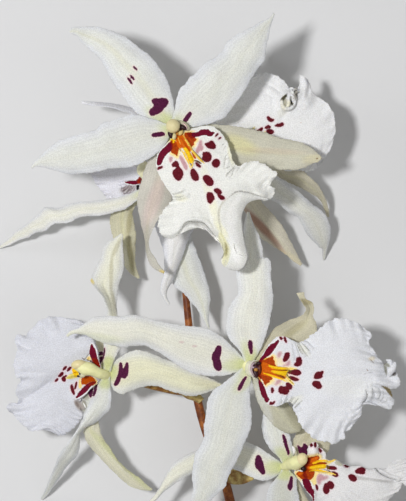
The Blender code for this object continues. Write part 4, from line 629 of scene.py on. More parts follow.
def lip_height(shape, plan, along, across):
    """Heights of a lip: its arch, its waves and its large folds."""
    side = 2 * across[None, :] - 1
    height = profile(shape["height"], along)[:, None]
    height = height - profile(shape["drop"], along)[:, None] * side**2
    height = height + edge_waves(along, across, shape["wave"], shape["seed"])
    height = height + front_waves(along, across, shape["wave"], shape["seed"] + 1)
    for line, rise, width in shape["folds"]:
        height = height + rise * np.exp(-((distance_to(line, plan) / width) ** 2))
    return height


def front_waves(along, across, depth, seed):
    """Waves that grow towards the lip's front."""
    draw = np.random.default_rng(seed)
    first = draw.uniform(0, 2 * math.pi, 2)
    s = across[None, :]
    toward_front = np.clip(along[:, None] - 0.55, 0, 1) ** 2 / 0.45**2
    wave = np.sin(2 * math.pi * 2.2 * s + first[0]) + 0.6 * np.sin(2 * math.pi * 3.6 * s + first[1])
    return depth * 1.3 * toward_front * wave


def bract_surface(shape):
    """A bract, arched over the stalk's foot."""
    arched = dict(shape, rise=[0, 0], drop=[1.6, 2.0, 0.8], wave=0.1)
    return tepal_surface(arched, BRACT_CELLS, 1)


def frames_along(way):
    """Two directions across a line that turn with it as little as possible."""
    aside = np.empty_like(way)
    first = np.cross(way[0], (0.0, 0.0, 1.0))
    if np.linalg.norm(first) < 0.1:
        first = np.cross(way[0], (0.0, 1.0, 0.0))
    for i, direction in enumerate(way):
        first = first - direction * (first @ direction)
        first = first / np.linalg.norm(first)
        aside[i] = first
    return aside, np.cross(aside, way)


def fan(centre, near, far, first, last, count):
    """Rays round a plan point, between two distances and two angles in degrees."""
    rays = []
    for turn in np.radians(np.linspace(first, last, count)):
        way = np.array((math.cos(turn), math.sin(turn)))
        rays.append([tuple(np.array(centre) + near * way), tuple(np.array(centre) + far * way)])
    return rays


def creases(rays, rise, width):
    """Lines that rise and sink in turn."""
    return [(ray, rise * (1 if k % 2 else -1), width) for k, ray in enumerate(rays)]


# Creases in the lips that are too fine for the solids: points, rise in millimetres, and half width
# in grid units.
CREASES = {
    "a_lip": lines("""179.4,236.6 182.4,230 187,224.8 193,223.4 201,224.2 207,228.4 213,234.8
        219,241.4: -2 2
        / 177,234 181,227 186,221 191,219 200,219.4 206,220.6 211,227 217,234: 0.7 1.3
        / 166,234 171,231.6 177,229.6: -0.4 1 / 168.6,235.6 173,233.6 178,231: 0.35 0.9
        / 234,236 235,243 238,250: -0.7 0.7 / 239,252 243.6,254.8 247,255: -0.7 0.8
        / 231,241 234,247 236,254: 0.5 0.9 / 240,246 243,250 246,251: 0.45 0.8
        / 222,230 226,239 229,247 227,254 224.6,260: -1.6 2.6
        / 277,174.6 270,181 262.6,189.6: 0.9 1.5 / 274.6,171.6 267.6,178.6 260,187.4: -0.5 1.6
        / 236,166.6 230,172 226.4,176.6: -0.7 0.9 / 233,167 228.4,171 225.6,175: 0.5 0.9
        / 234,168.4 233,174 229.6,178: -0.55 0.8 / 237,167.6 235.4,171 231,176: 0.45 0.9
        / 226,156 225,162 224,168: -0.6 0.9 / 228.6,158 227.4,164 225.6,169: 0.45 1
        / 173,195.4 180,194.4 187,191: -0.7 0.9 / 173,198 181,197.4 190,194: 0.7 1
        / 173,200.6 182,200 192,197.4: -0.6 0.9 / 172.6,193 178,192.4 184,189: 0.5 1
        / 203,150 213,152.6 222,158: 0.25 3"""),
    "b_lip": lines("""301,75 301,84 299.8,92 297.4,100 292,108: -0.7 1.6
        / 306,80 304.4,88 302.6,96 299,106: 0.3 3 / 287,110 284,116 280,123: -0.5 2.6
        / 285,95.6 282.6,98.4: -1.6 1.4 / 291,101 291.8,104: -1.6 1.5 / 296,91 295.6,97: -1.4 2.2
        / 283,100 284,107 290,109: 0.9 1.6""")
    + creases(fan((268, 128), 22, 48, -104, -74, 6), 0.16, 2.2)
    + lines("""258,82 268,84.6 276,89 282,94: -0.45 1.2 / 254,87 266,88.6 275,93 280,98: 0.4 1.5
        / 256,94 268,95 278,101: -0.35 1.3 / 268,90 272,100 274,112: -0.3 1.6"""),
    "c_lip": creases(fan((290, 330), 14, 31, 34, 84, 10), 0.6, 1.0)
    + creases(fan((276, 418), 13, 27, -72, -20, 10), 0.8, 1.0)
    + creases(fan((300, 376), 74, 98, -40, -12, 7), 0.34, 2.2)
    + creases(fan((300, 376), 60, 84, 24, 52, 8), 0.34, 2.0)
    + creases(fan((366, 372), 10, 27, 42, 86, 8), 0.34, 1.2)
    + lines("""318,377 345,375.6 364,374 372,372.4 380,371.4: -0.35 2.6
        / 366,389 367.6,395 365.6,400 362.8,404 362,409: -1.3 1.3 / 370,390 371,396 369,401: 0.6 1.6
        / 372,384.6 379,385.8 385.6,387.6 391,390: -1.5 1.2 / 374,381 384,382 395,384: 0.7 3
        / 377,387.6 378.4,392 376.6,399: 0.8 1.4 / 369.6,358 372,361 374,363.6: -0.4 0.9
        / 384,362 385.6,368 386.6,374: -1.4 1.6"""),
    "d_lip": creases(fan((142, 179), 8, 24, 138, 172, 9), 0.5, 0.9)
    + lines("124,184.4 132,185.4 139,184: -0.8 0.9"),
    "e_lip": creases(fan((66, 374), 40, 52, 100, 262, 19), 0.12, 2.0)
    + lines("""20,401 34,393 50,381: -0.6 1.8 / 18,371 28,372 40,372.6 50,371: -0.25 2
        / 19,366 30,366 42,366: 0.2 2 / 16,340 22,346 30,350: -0.6 1.8
        / 14,373 20,374 28,372: -0.5 1.4 / 44,320 46,328 50,338: -0.5 1.8
        / 58,320 60,328 63,336: -0.5 1.8 / 52,319 54,330: 0.4 2.4 / 15,382 22,381 30,378: -0.6 1.4
        / 79,401 80,408: -0.8 2.6 / 82.6,402 84.6,405 86,409: 0.7 0.9"""),
    "f_lip": creases(fan((322, 474), 30, 60, 30, 70, 9), 0.3, 1.6)
    + lines("""316,500 330,494 344,498: 0.3 2 / 352,474.6 368,477.4 382,479.8 398,482: -0.7 1.8
        / 374.6,467 378,471.4 384,475.6 391,478.8 397,481: -1.3 1.3
        / 377,467 381,470.6 386.6,474.4 394,477.6 401,479.6: 1.5 2 / 348,468 364,470 380,476: 0.4 3
        / 313,489 314.4,496 314,503: 0.8 1.4 / 336,459.6 342,463 345,467: -0.9 1.2"""),
}

# Folded parts of lips, and of one petal, that lie over the rest of them: edges, heights and arching
# as in the tepals' table.
FOLDS = {
    "a_lip": [
        dict(
            left=curve("""268,198.6 262,197.2 256,195.2 251,193.6 246,192.4 240,191.6 235,192.6
                230,195 226,198 222.4,203 219.6,208 218.8,214 219.6,222 221.2,230 224.6,237
                228.6,243 230.4,248 229.4,254 227,260 226.4,266 229,269.4"""),
            right=curve("""268.6,199.8 263,199.4 258,199.6 252,201 247,204 244.2,209 242,214 241.6,222
                242.4,230 243.6,238 245,245 246.6,252 247.4,258 246,262.4 243.8,266.6 238,270.6"""),
            height=[68.4, 70.8, 72.9, 74.2, 74.6, 74.7, 74.8, 74.9, 74.2, 71.4],
            rise=[0, -0.6, -1.4, -1.6, -1.6, -1.6, -1.2, -0.6, 0],
            drop=[0.3, 0.8, 1.1, 1.0, 0.9, 0.9, 0.9, 0.8, 0.3], wave=0.25)],
    "c_lip": [
        dict(
            left=curve("387,376.4 386.8,370.6 388.6,367 391.6,364 394.2,361.6"),
            right=curve("390,376.6 393,373.6 395.2,370 396.4,365.6 395.6,361.8"),
            height=[55.2, 57.0, 57.8, 57.6, 56.8], rise=[0.4], drop=[0.2, 0.9, 0.8, 0.2], wave=0.1),
        dict(
            left=curve("389.2,368 389.6,364.4 388.4,362 385.6,360.6"),
            right=curve("391.4,367.4 392.8,363.6 391.6,360 386.6,359.2"),
            height=[56.2, 57.4, 57.4, 56.0], rise=[0], drop=[0.2, 0.8, 0.2], wave=0.1)],
    "e_lip": [
        dict(
            left=curve("99.6,368.2 94,363.8 90,360.6 88.6,355.6 88.9,350 90,345.4 91.6,341.6"),
            right=curve("101.6,367.8 100.4,364 98.8,359.6 98,354.6 97.2,350 95.4,345.6 93,341.4"),
            height=[38.4, 39.4, 40.4, 41.0, 41.0, 40.4], rise=[0, 0.5, 0.9, 0.4],
            drop=[0, -0.4, -0.5, -0.2], wave=0.1),
        dict(
            left=curve("95.6,380.8 90,382 85.2,384.8 81,388.8 78.4,392.4 76,396.6 74.8,399"),
            right=curve("98,383.6 93.6,386.4 91,388.4 88.2,391.8 84.6,395.4 80.6,398.4 75.8,400.4"),
            height=[37.8, 38.6, 39.0, 38.8, 38.2, 37.6], rise=[0, 0.5, 0.5, 0.2],
            drop=[0, -0.4, -0.4, 0], wave=0.1),
        dict(
            left=curve("75.6,400 76.6,405 80.6,410.6"),
            right=curve("82,397.6 87.4,401.6 88.6,407.6"),
            height=[35.6, 35.4, 34.6], rise=[0.4], drop=[0.4, 1.2, 0.8], wave=0.1)],
    "e_lower_petal": [
        dict(
            left=curve("97,383.6 91.6,388 87,391.6 83,396 80.6,400 80.4,405 83,412"),
            right=curve("100.4,384 99,390 97,397 94,403 90,409 87,415"),
            height=[34.8, 35.4, 35.4, 34.6, 33.6], rise=[0.4], drop=[0], wave=0.1)],
    "f_lip": [
        dict(
            left=curve("308.6,456.6 307.8,451 308.8,446 312,442.2"),
            right=curve("313.6,457.8 317,455 317.6,449 316.2,441.8"),
            height=[36.0, 38.4, 39.4, 38.8], rise=[0, 0.3, 0], drop=[0.6, 1.8, 1.6, 0.8], wave=0.1),
        dict(
            left=curve("317.6,458 316.6,453 317.4,447.6"),
            right=curve("322.6,460.8 326.4,457 325.2,452.6 321,447.6"),
            height=[35.6, 37.2, 37.4, 37.2], rise=[0], drop=[0.4, 1.1, 0.6], wave=0.1)],
    "d_lip": [
        dict(
            left=curve("140.4,176.8 137,180 132,180.2 127,180.8 123.6,182.6"),
            right=curve("141,183.8 137,185.4 133,185.8 128,184.8 123.6,183.2"),
            height=[25.6, 24.8, 23.8, 22.8, 22.0], rise=[0], drop=[-0.2, -0.3, 0], wave=0.1)],
}

# Colours, as sRGB values from 0 to 255
WHITE = (224, 226, 222)
COOL_WHITE = (216, 219, 229)
CREAM = (226, 224, 208)
KHAKI = (208, 203, 180)
DARK_KHAKI = (182, 174, 146)
MAROON = (104, 15, 32)
CRIMSON = (114, 6, 42)
PURPLE = (88, 24, 64)
ORANGE = (182, 66, 2)
AMBER = (190, 80, 4)
BRIGHT_ORANGE = (220, 104, 8)
RED_ORANGE = (146, 30, 6)
YELLOW = (255, 208, 20)
LINE_YELLOW = (252, 214, 90)
PALE_YELLOW = (250, 224, 146)
LEMON = (240, 238, 196)
YELLOW_GREEN = (200, 207, 138)
LILAC = (202, 158, 166)
ROSE = (242, 206, 208)
OLIVE = (150, 140, 92)
DARK_OLIVE = (84, 80, 62)
GREY = (150, 146, 136)
BROWN = (74, 34, 10)
DARK = (44, 12, 18)
SNOW = (246, 244, 246)
GREEN_CREAM = (240, 239, 182)
CAP = (224, 213, 166)
RIB = (214, 212, 170)
STALK_LIGHT = (176, 140, 76)
STALK_DARK = (120, 74, 34)
STEM_LIGHT = (168, 100, 46)
STEM_DARK = (104, 50, 24)
BRACT_LIGHT = (196, 178, 112)
BRACT_DARK = (140, 104, 58)
FLOOR_COLOUR = (222, 223, 226)
DARK_PAINT = 190  # a paint whose parts are all under this counts as dark
PALE_BODY = 200  # a body whose parts are all over this gets cool margins

# The paler rim round each mark: colour, width in grid units, strength.
HALOS = {
    MAROON: ((234, 196, 206), 1.7, 0.6),
    CRIMSON: (SNOW, 1.6, 0.8),
    PURPLE: (ROSE, 1.5, 0.5),
    ORANGE: (PALE_YELLOW, 3.8, 1.0),
    LILAC: ((232, 212, 210), 2.4, 0.6),
}

# Tissue of each tepal and lip: its body colour, and how strong the line along its middle is.
PLAIN_TINT = (WHITE, 0.35)  # of the tepals that are not listed
TINTS = {
    "a_right_sepal": ((212, 210, 194), 0.2),
    "a_left_sepal": ((206, 203, 194), 0.2),
    "a_left_petal": (WHITE, 0.1),
    "a_right_petal": (WHITE, 0.1),
    "b_right_sepal": ((202, 197, 178), 0.4),
    "b_lower_petal": ((230, 231, 226), 0.15),
    "b_left_sepal": ((216, 211, 195), 0.2),
    "c_upper_sepal": (KHAKI, 0.3),
    "c_lower_sepal": ((200, 198, 178), 0.2),
    "c_dorsal_sepal": ((230, 230, 220), 0.1),
    "c_upper_petal": ((230, 231, 224), 0.12),
    "c_lower_petal": ((218, 220, 215), 0.1),
    "d_left_sepal": ((230, 230, 222), 0.2),
    "d_upper_sepal": ((238, 238, 244), 0.0),
    "d_dorsal_sepal": ((232, 232, 234), 0.1),
    "d_outer_petal": ((206, 203, 178), 0.6),
    "e_upper_petal": ((228, 228, 214), 0.25),
    "e_lower_sepal": ((224, 222, 200), 0.25),
    "e_dorsal_sepal": ((228, 227, 202), 0.2),
    "e_lower_petal": (WHITE, 0.1),
    "f_upper_petal": (WHITE, 0.12),
    "f_lower_petal": ((206, 208, 202), 0.1),
    "f_dorsal_sepal": ((230, 230, 218), 0.1),
    "b_upper_petal": (WHITE, 0.15),
    "a_lip": ((236, 237, 234), 0.0),
    "b_lip": ((238, 239, 242), 0.0),
    "c_lip": ((227, 229, 235), 0.0),
    "d_lip": ((228, 228, 238), 0.0),
    "e_lip": ((217, 219, 228), 0.0),
    "f_lip": ((229, 229, 231), 0.0),
    "f_upper_sepal": (KHAKI, 0.2),
    "f_lower_sepal": (KHAKI, 0.3),
    "e_upper_sepal": (KHAKI, 0.2),
}

# Soft tints, painted shade and painted highlights among them: colour, strength, and strokes as
# (u, v, u, v, half width).
WASHES = {
    "a_dorsal_sepal": [(YELLOW_GREEN, 0.5, [(152, 112, 168, 122, 8)])],
    "a_right_sepal": [
        ((228, 222, 150), 0.45, [(228, 140, 250, 149, 9)]),
        ((206, 176, 150), 0.22, [(240, 149, 306, 153, 3.4)]),
        ((222, 212, 168), 0.4, [(306, 160, 322, 158, 5)]),
        ((120, 84, 40), 0.8, [(316.4, 158.8, 317.6, 158.2, 0.7)])],
    "a_left_sepal": [
        ((214, 190, 186), 0.5, [(147, 222, 160, 182, 8)]),
        (OLIVE, 0.2, [(146, 256, 148, 222, 3)]),
        ((232, 206, 110), 0.7, [(161, 271, 165, 273.6, 2)])],
    "b_left_sepal": [
        ((150, 98, 80), 0.75, [(246, 210, 274, 240, 4.6)]),
        ((190, 150, 130), 0.5, [(270, 236, 284, 252, 3)]),
        ((226, 214, 170), 0.35, [(280, 250, 302, 265, 4)])],
    "b_right_sepal": [(OLIVE, 0.35, [(285, 177, 326, 210, 3)])],
    "c_dorsal_sepal": [
        (LILAC, 0.4, [(180, 342, 183, 342, 1.4), (193, 346, 196, 346, 1.4)]),
        (YELLOW_GREEN, 0.4, [(224, 366, 246, 365, 6.5)]),
        (YELLOW_GREEN, 0.25, [(68, 336, 120, 340, 6)])],
    "c_upper_petal": [(YELLOW_GREEN, 0.5, [(246, 346, 256, 362, 7)])],
    "c_lower_petal": [(YELLOW_GREEN, 0.45, [(238, 388, 252, 376, 7)])],
    "c_lower_sepal": [
        # Painted light and shade: a paler left side, then a darker olive right part.
        ((222, 222, 216), 0.75, [(258, 386, 266, 408, 6), (266, 408, 270, 424, 5)]),
        ((148, 142, 108), 0.4, [(286, 404, 302, 432, 6)])],
    "c_upper_sepal": [
        (OLIVE, 0.35, [(284, 338, 304, 322, 4)]),
        ((166, 156, 118), 0.7, [(296, 304, 314, 300, 4)])],
    "d_outer_petal": [(OLIVE, 0.5, [(131, 208, 127.6, 236, 3), (127.6, 232, 133, 272, 3)])],
    "e_dorsal_sepal": [
        (YELLOW_GREEN, 0.6, [(106, 373, 115, 372, 8)]),
        (DARK_KHAKI, 0.2, [(190, 378, 222, 386, 6)])],
    "e_upper_petal": [
        (OLIVE, 0.35, [(120, 240, 112, 258, 2.2), (112, 254, 110.6, 292, 2.2),
            (110.6, 288, 116, 315, 2.2)]),
        ((226, 206, 120), 0.8, [(90, 279, 93, 283, 2.0)]),
        (YELLOW_GREEN, 0.6, [(103, 362, 112, 362, 6)])],
    "e_lower_petal": [
        (YELLOW_GREEN, 0.5, [(102, 384, 110, 384, 5)]),
        # Painted shade: grey-khaki over the petal's left part, which lies in shade.
        ((164, 162, 148), 0.85, [(84, 398, 90, 392, 4.6), (83, 400, 84, 409, 3.6)])],
    "e_lower_sepal": [(YELLOW_GREEN, 0.5, [(90, 430, 152, 492, 4)])],
    "f_dorsal_sepal": [(YELLOW_GREEN, 0.5, [(266, 468, 284, 467, 7)])],
    "f_upper_petal": [(YELLOW_GREEN, 0.6, [(280, 452, 292, 460, 7)])],
    "f_lower_petal": [(YELLOW_GREEN, 0.55, [(280, 476, 292, 476, 5)])],
    "f_upper_sepal": [(OLIVE, 0.3, [(304, 440, 322, 420, 4)])],
    "a_lip": [
        # Painted light: a white wash that brightens the curl where its tilted surface turns from the
        # lamps.
        ((255, 255, 255), 0.6, [(233, 206, 231, 226, 6), (231, 226, 236, 246, 5),
            (236, 246, 238, 262, 5), (240, 196, 233, 206, 3)]),
        (LEMON, 0.35, [(204, 170, 211, 202, 5)]),
        (LEMON, 0.4, [(212, 200, 216, 216, 5.0), (216, 216, 219, 228, 4.0)]),
        (LEMON, 0.3, [(178, 197, 184, 199, 4)]),
        (LEMON, 0.5, [(220, 226, 226, 236, 3.4)]),
        (LEMON, 0.5, [(229, 147, 233, 164, 3)]),
        # Painted shade: the grey band on the left lobe's rolled-under front margin.
        ((206, 206, 204), 0.9, [(184, 226.6, 190, 224, 2.0), (190, 223.6, 202, 225, 2.2),
            (202, 225.4, 212, 235.4, 2.2)]),
        # Painted highlight: the white outer edge of that rolled margin.
        (SNOW, 0.9, [(205, 228.8, 215, 238, 0.9), (215, 238, 222.6, 246, 0.9)])],
    "b_lip": [
        ((222, 222, 212), 0.45, [(280, 114, 286, 109, 4)]),
        ((236, 232, 206), 0.8, [(284, 98, 284, 107, 2.6), (288, 102, 288, 106, 2)]),
        # Painted shade: the dark hollows in the knot and the grey between its ruffles.
        (DARK_OLIVE, 1.0, [(286.4, 95, 281.6, 100, 1.5), (290.6, 100.6, 292.4, 104.6, 1.8)]),
        (GREY, 0.9, [(295.6, 89, 295.6, 98.6, 2.4)]),
        ((226, 206, 90), 0.8, [(252.6, 128.8, 254.6, 127.2, 1.0),
            (264.6, 132.8, 266.2, 131.6, 1.1)])],
    "c_lip": [
        (LEMON, 0.25, [(300, 346, 307, 353, 4), (290, 402, 300, 398, 4)]),
        ((242, 226, 176), 0.7, [(277, 358, 283, 364, 4), (271, 382, 281, 383, 3.4)]),
        ((232, 214, 202), 0.5, [(284, 362, 292, 366, 3)]),
        (LEMON, 0.08, [(330, 386, 366, 388, 12)]),
        # Painted shade: the olive-grey hollow under the frill lobes and the grey triangle beside
        # them.
        ((140, 140, 124), 0.85, [(384.6, 363, 386.6, 374, 1.9), (386, 363.6, 389, 366, 1.9)]),
        ((104, 98, 94), 0.9, [(393.6, 374.6, 395, 374, 2.0)]),
        ((226, 214, 176), 0.5, [(370, 359, 373, 358.6, 2.4)])],
    "d_lip": [
        # Painted shade on the pleated waist.
        ((168, 160, 156), 0.75, [(123, 190, 134, 188, 4)]),
        ((96, 60, 72), 0.5, [(123, 191, 126, 186, 1.2), (123, 194, 134, 192.4, 0.9)])],
    "e_lip": [
        (YELLOW_GREEN, 0.7, [(94, 372, 102, 373, 6)]),
        # Painted shade: the three grey washes on the folded curl; the white stroke after them is a
        # painted highlight on its edge.
        ((172, 163, 158), 1.0, [(77, 402, 82, 409, 4.0)]),
        ((140, 128, 124), 0.9, [(75.6, 402, 78, 406, 1.8)]),
        ((160, 156, 138), 0.9, [(83, 400.6, 86, 408, 2.2)]),
        ((255, 255, 255), 1.0, [(83.4, 403, 85.8, 408, 0.7)]),
        ((226, 212, 204), 0.6, [(72, 390, 76, 390, 3)])],
    "f_lip": [
        (SNOW, 0.7, [(299, 474, 305, 488, 1.2), (305, 488, 313, 499, 1.2)]),
        # Painted light: a white wash that brightens the first lobe where its slope renders grey.
        ((255, 252, 255), 0.9, [(312, 446, 312.6, 454, 5)]),
        # Painted shade: grey in the notch between the lobes, then soft grey along the fold.
        (GREY, 0.45, [(319, 450, 322, 457, 1.8), (318.4, 447, 318.6, 456, 1.0)]),
        (GREY, 0.3, [(352, 477.4, 370, 480, 1.6), (370, 480, 396, 482.4, 1.8)])],
}
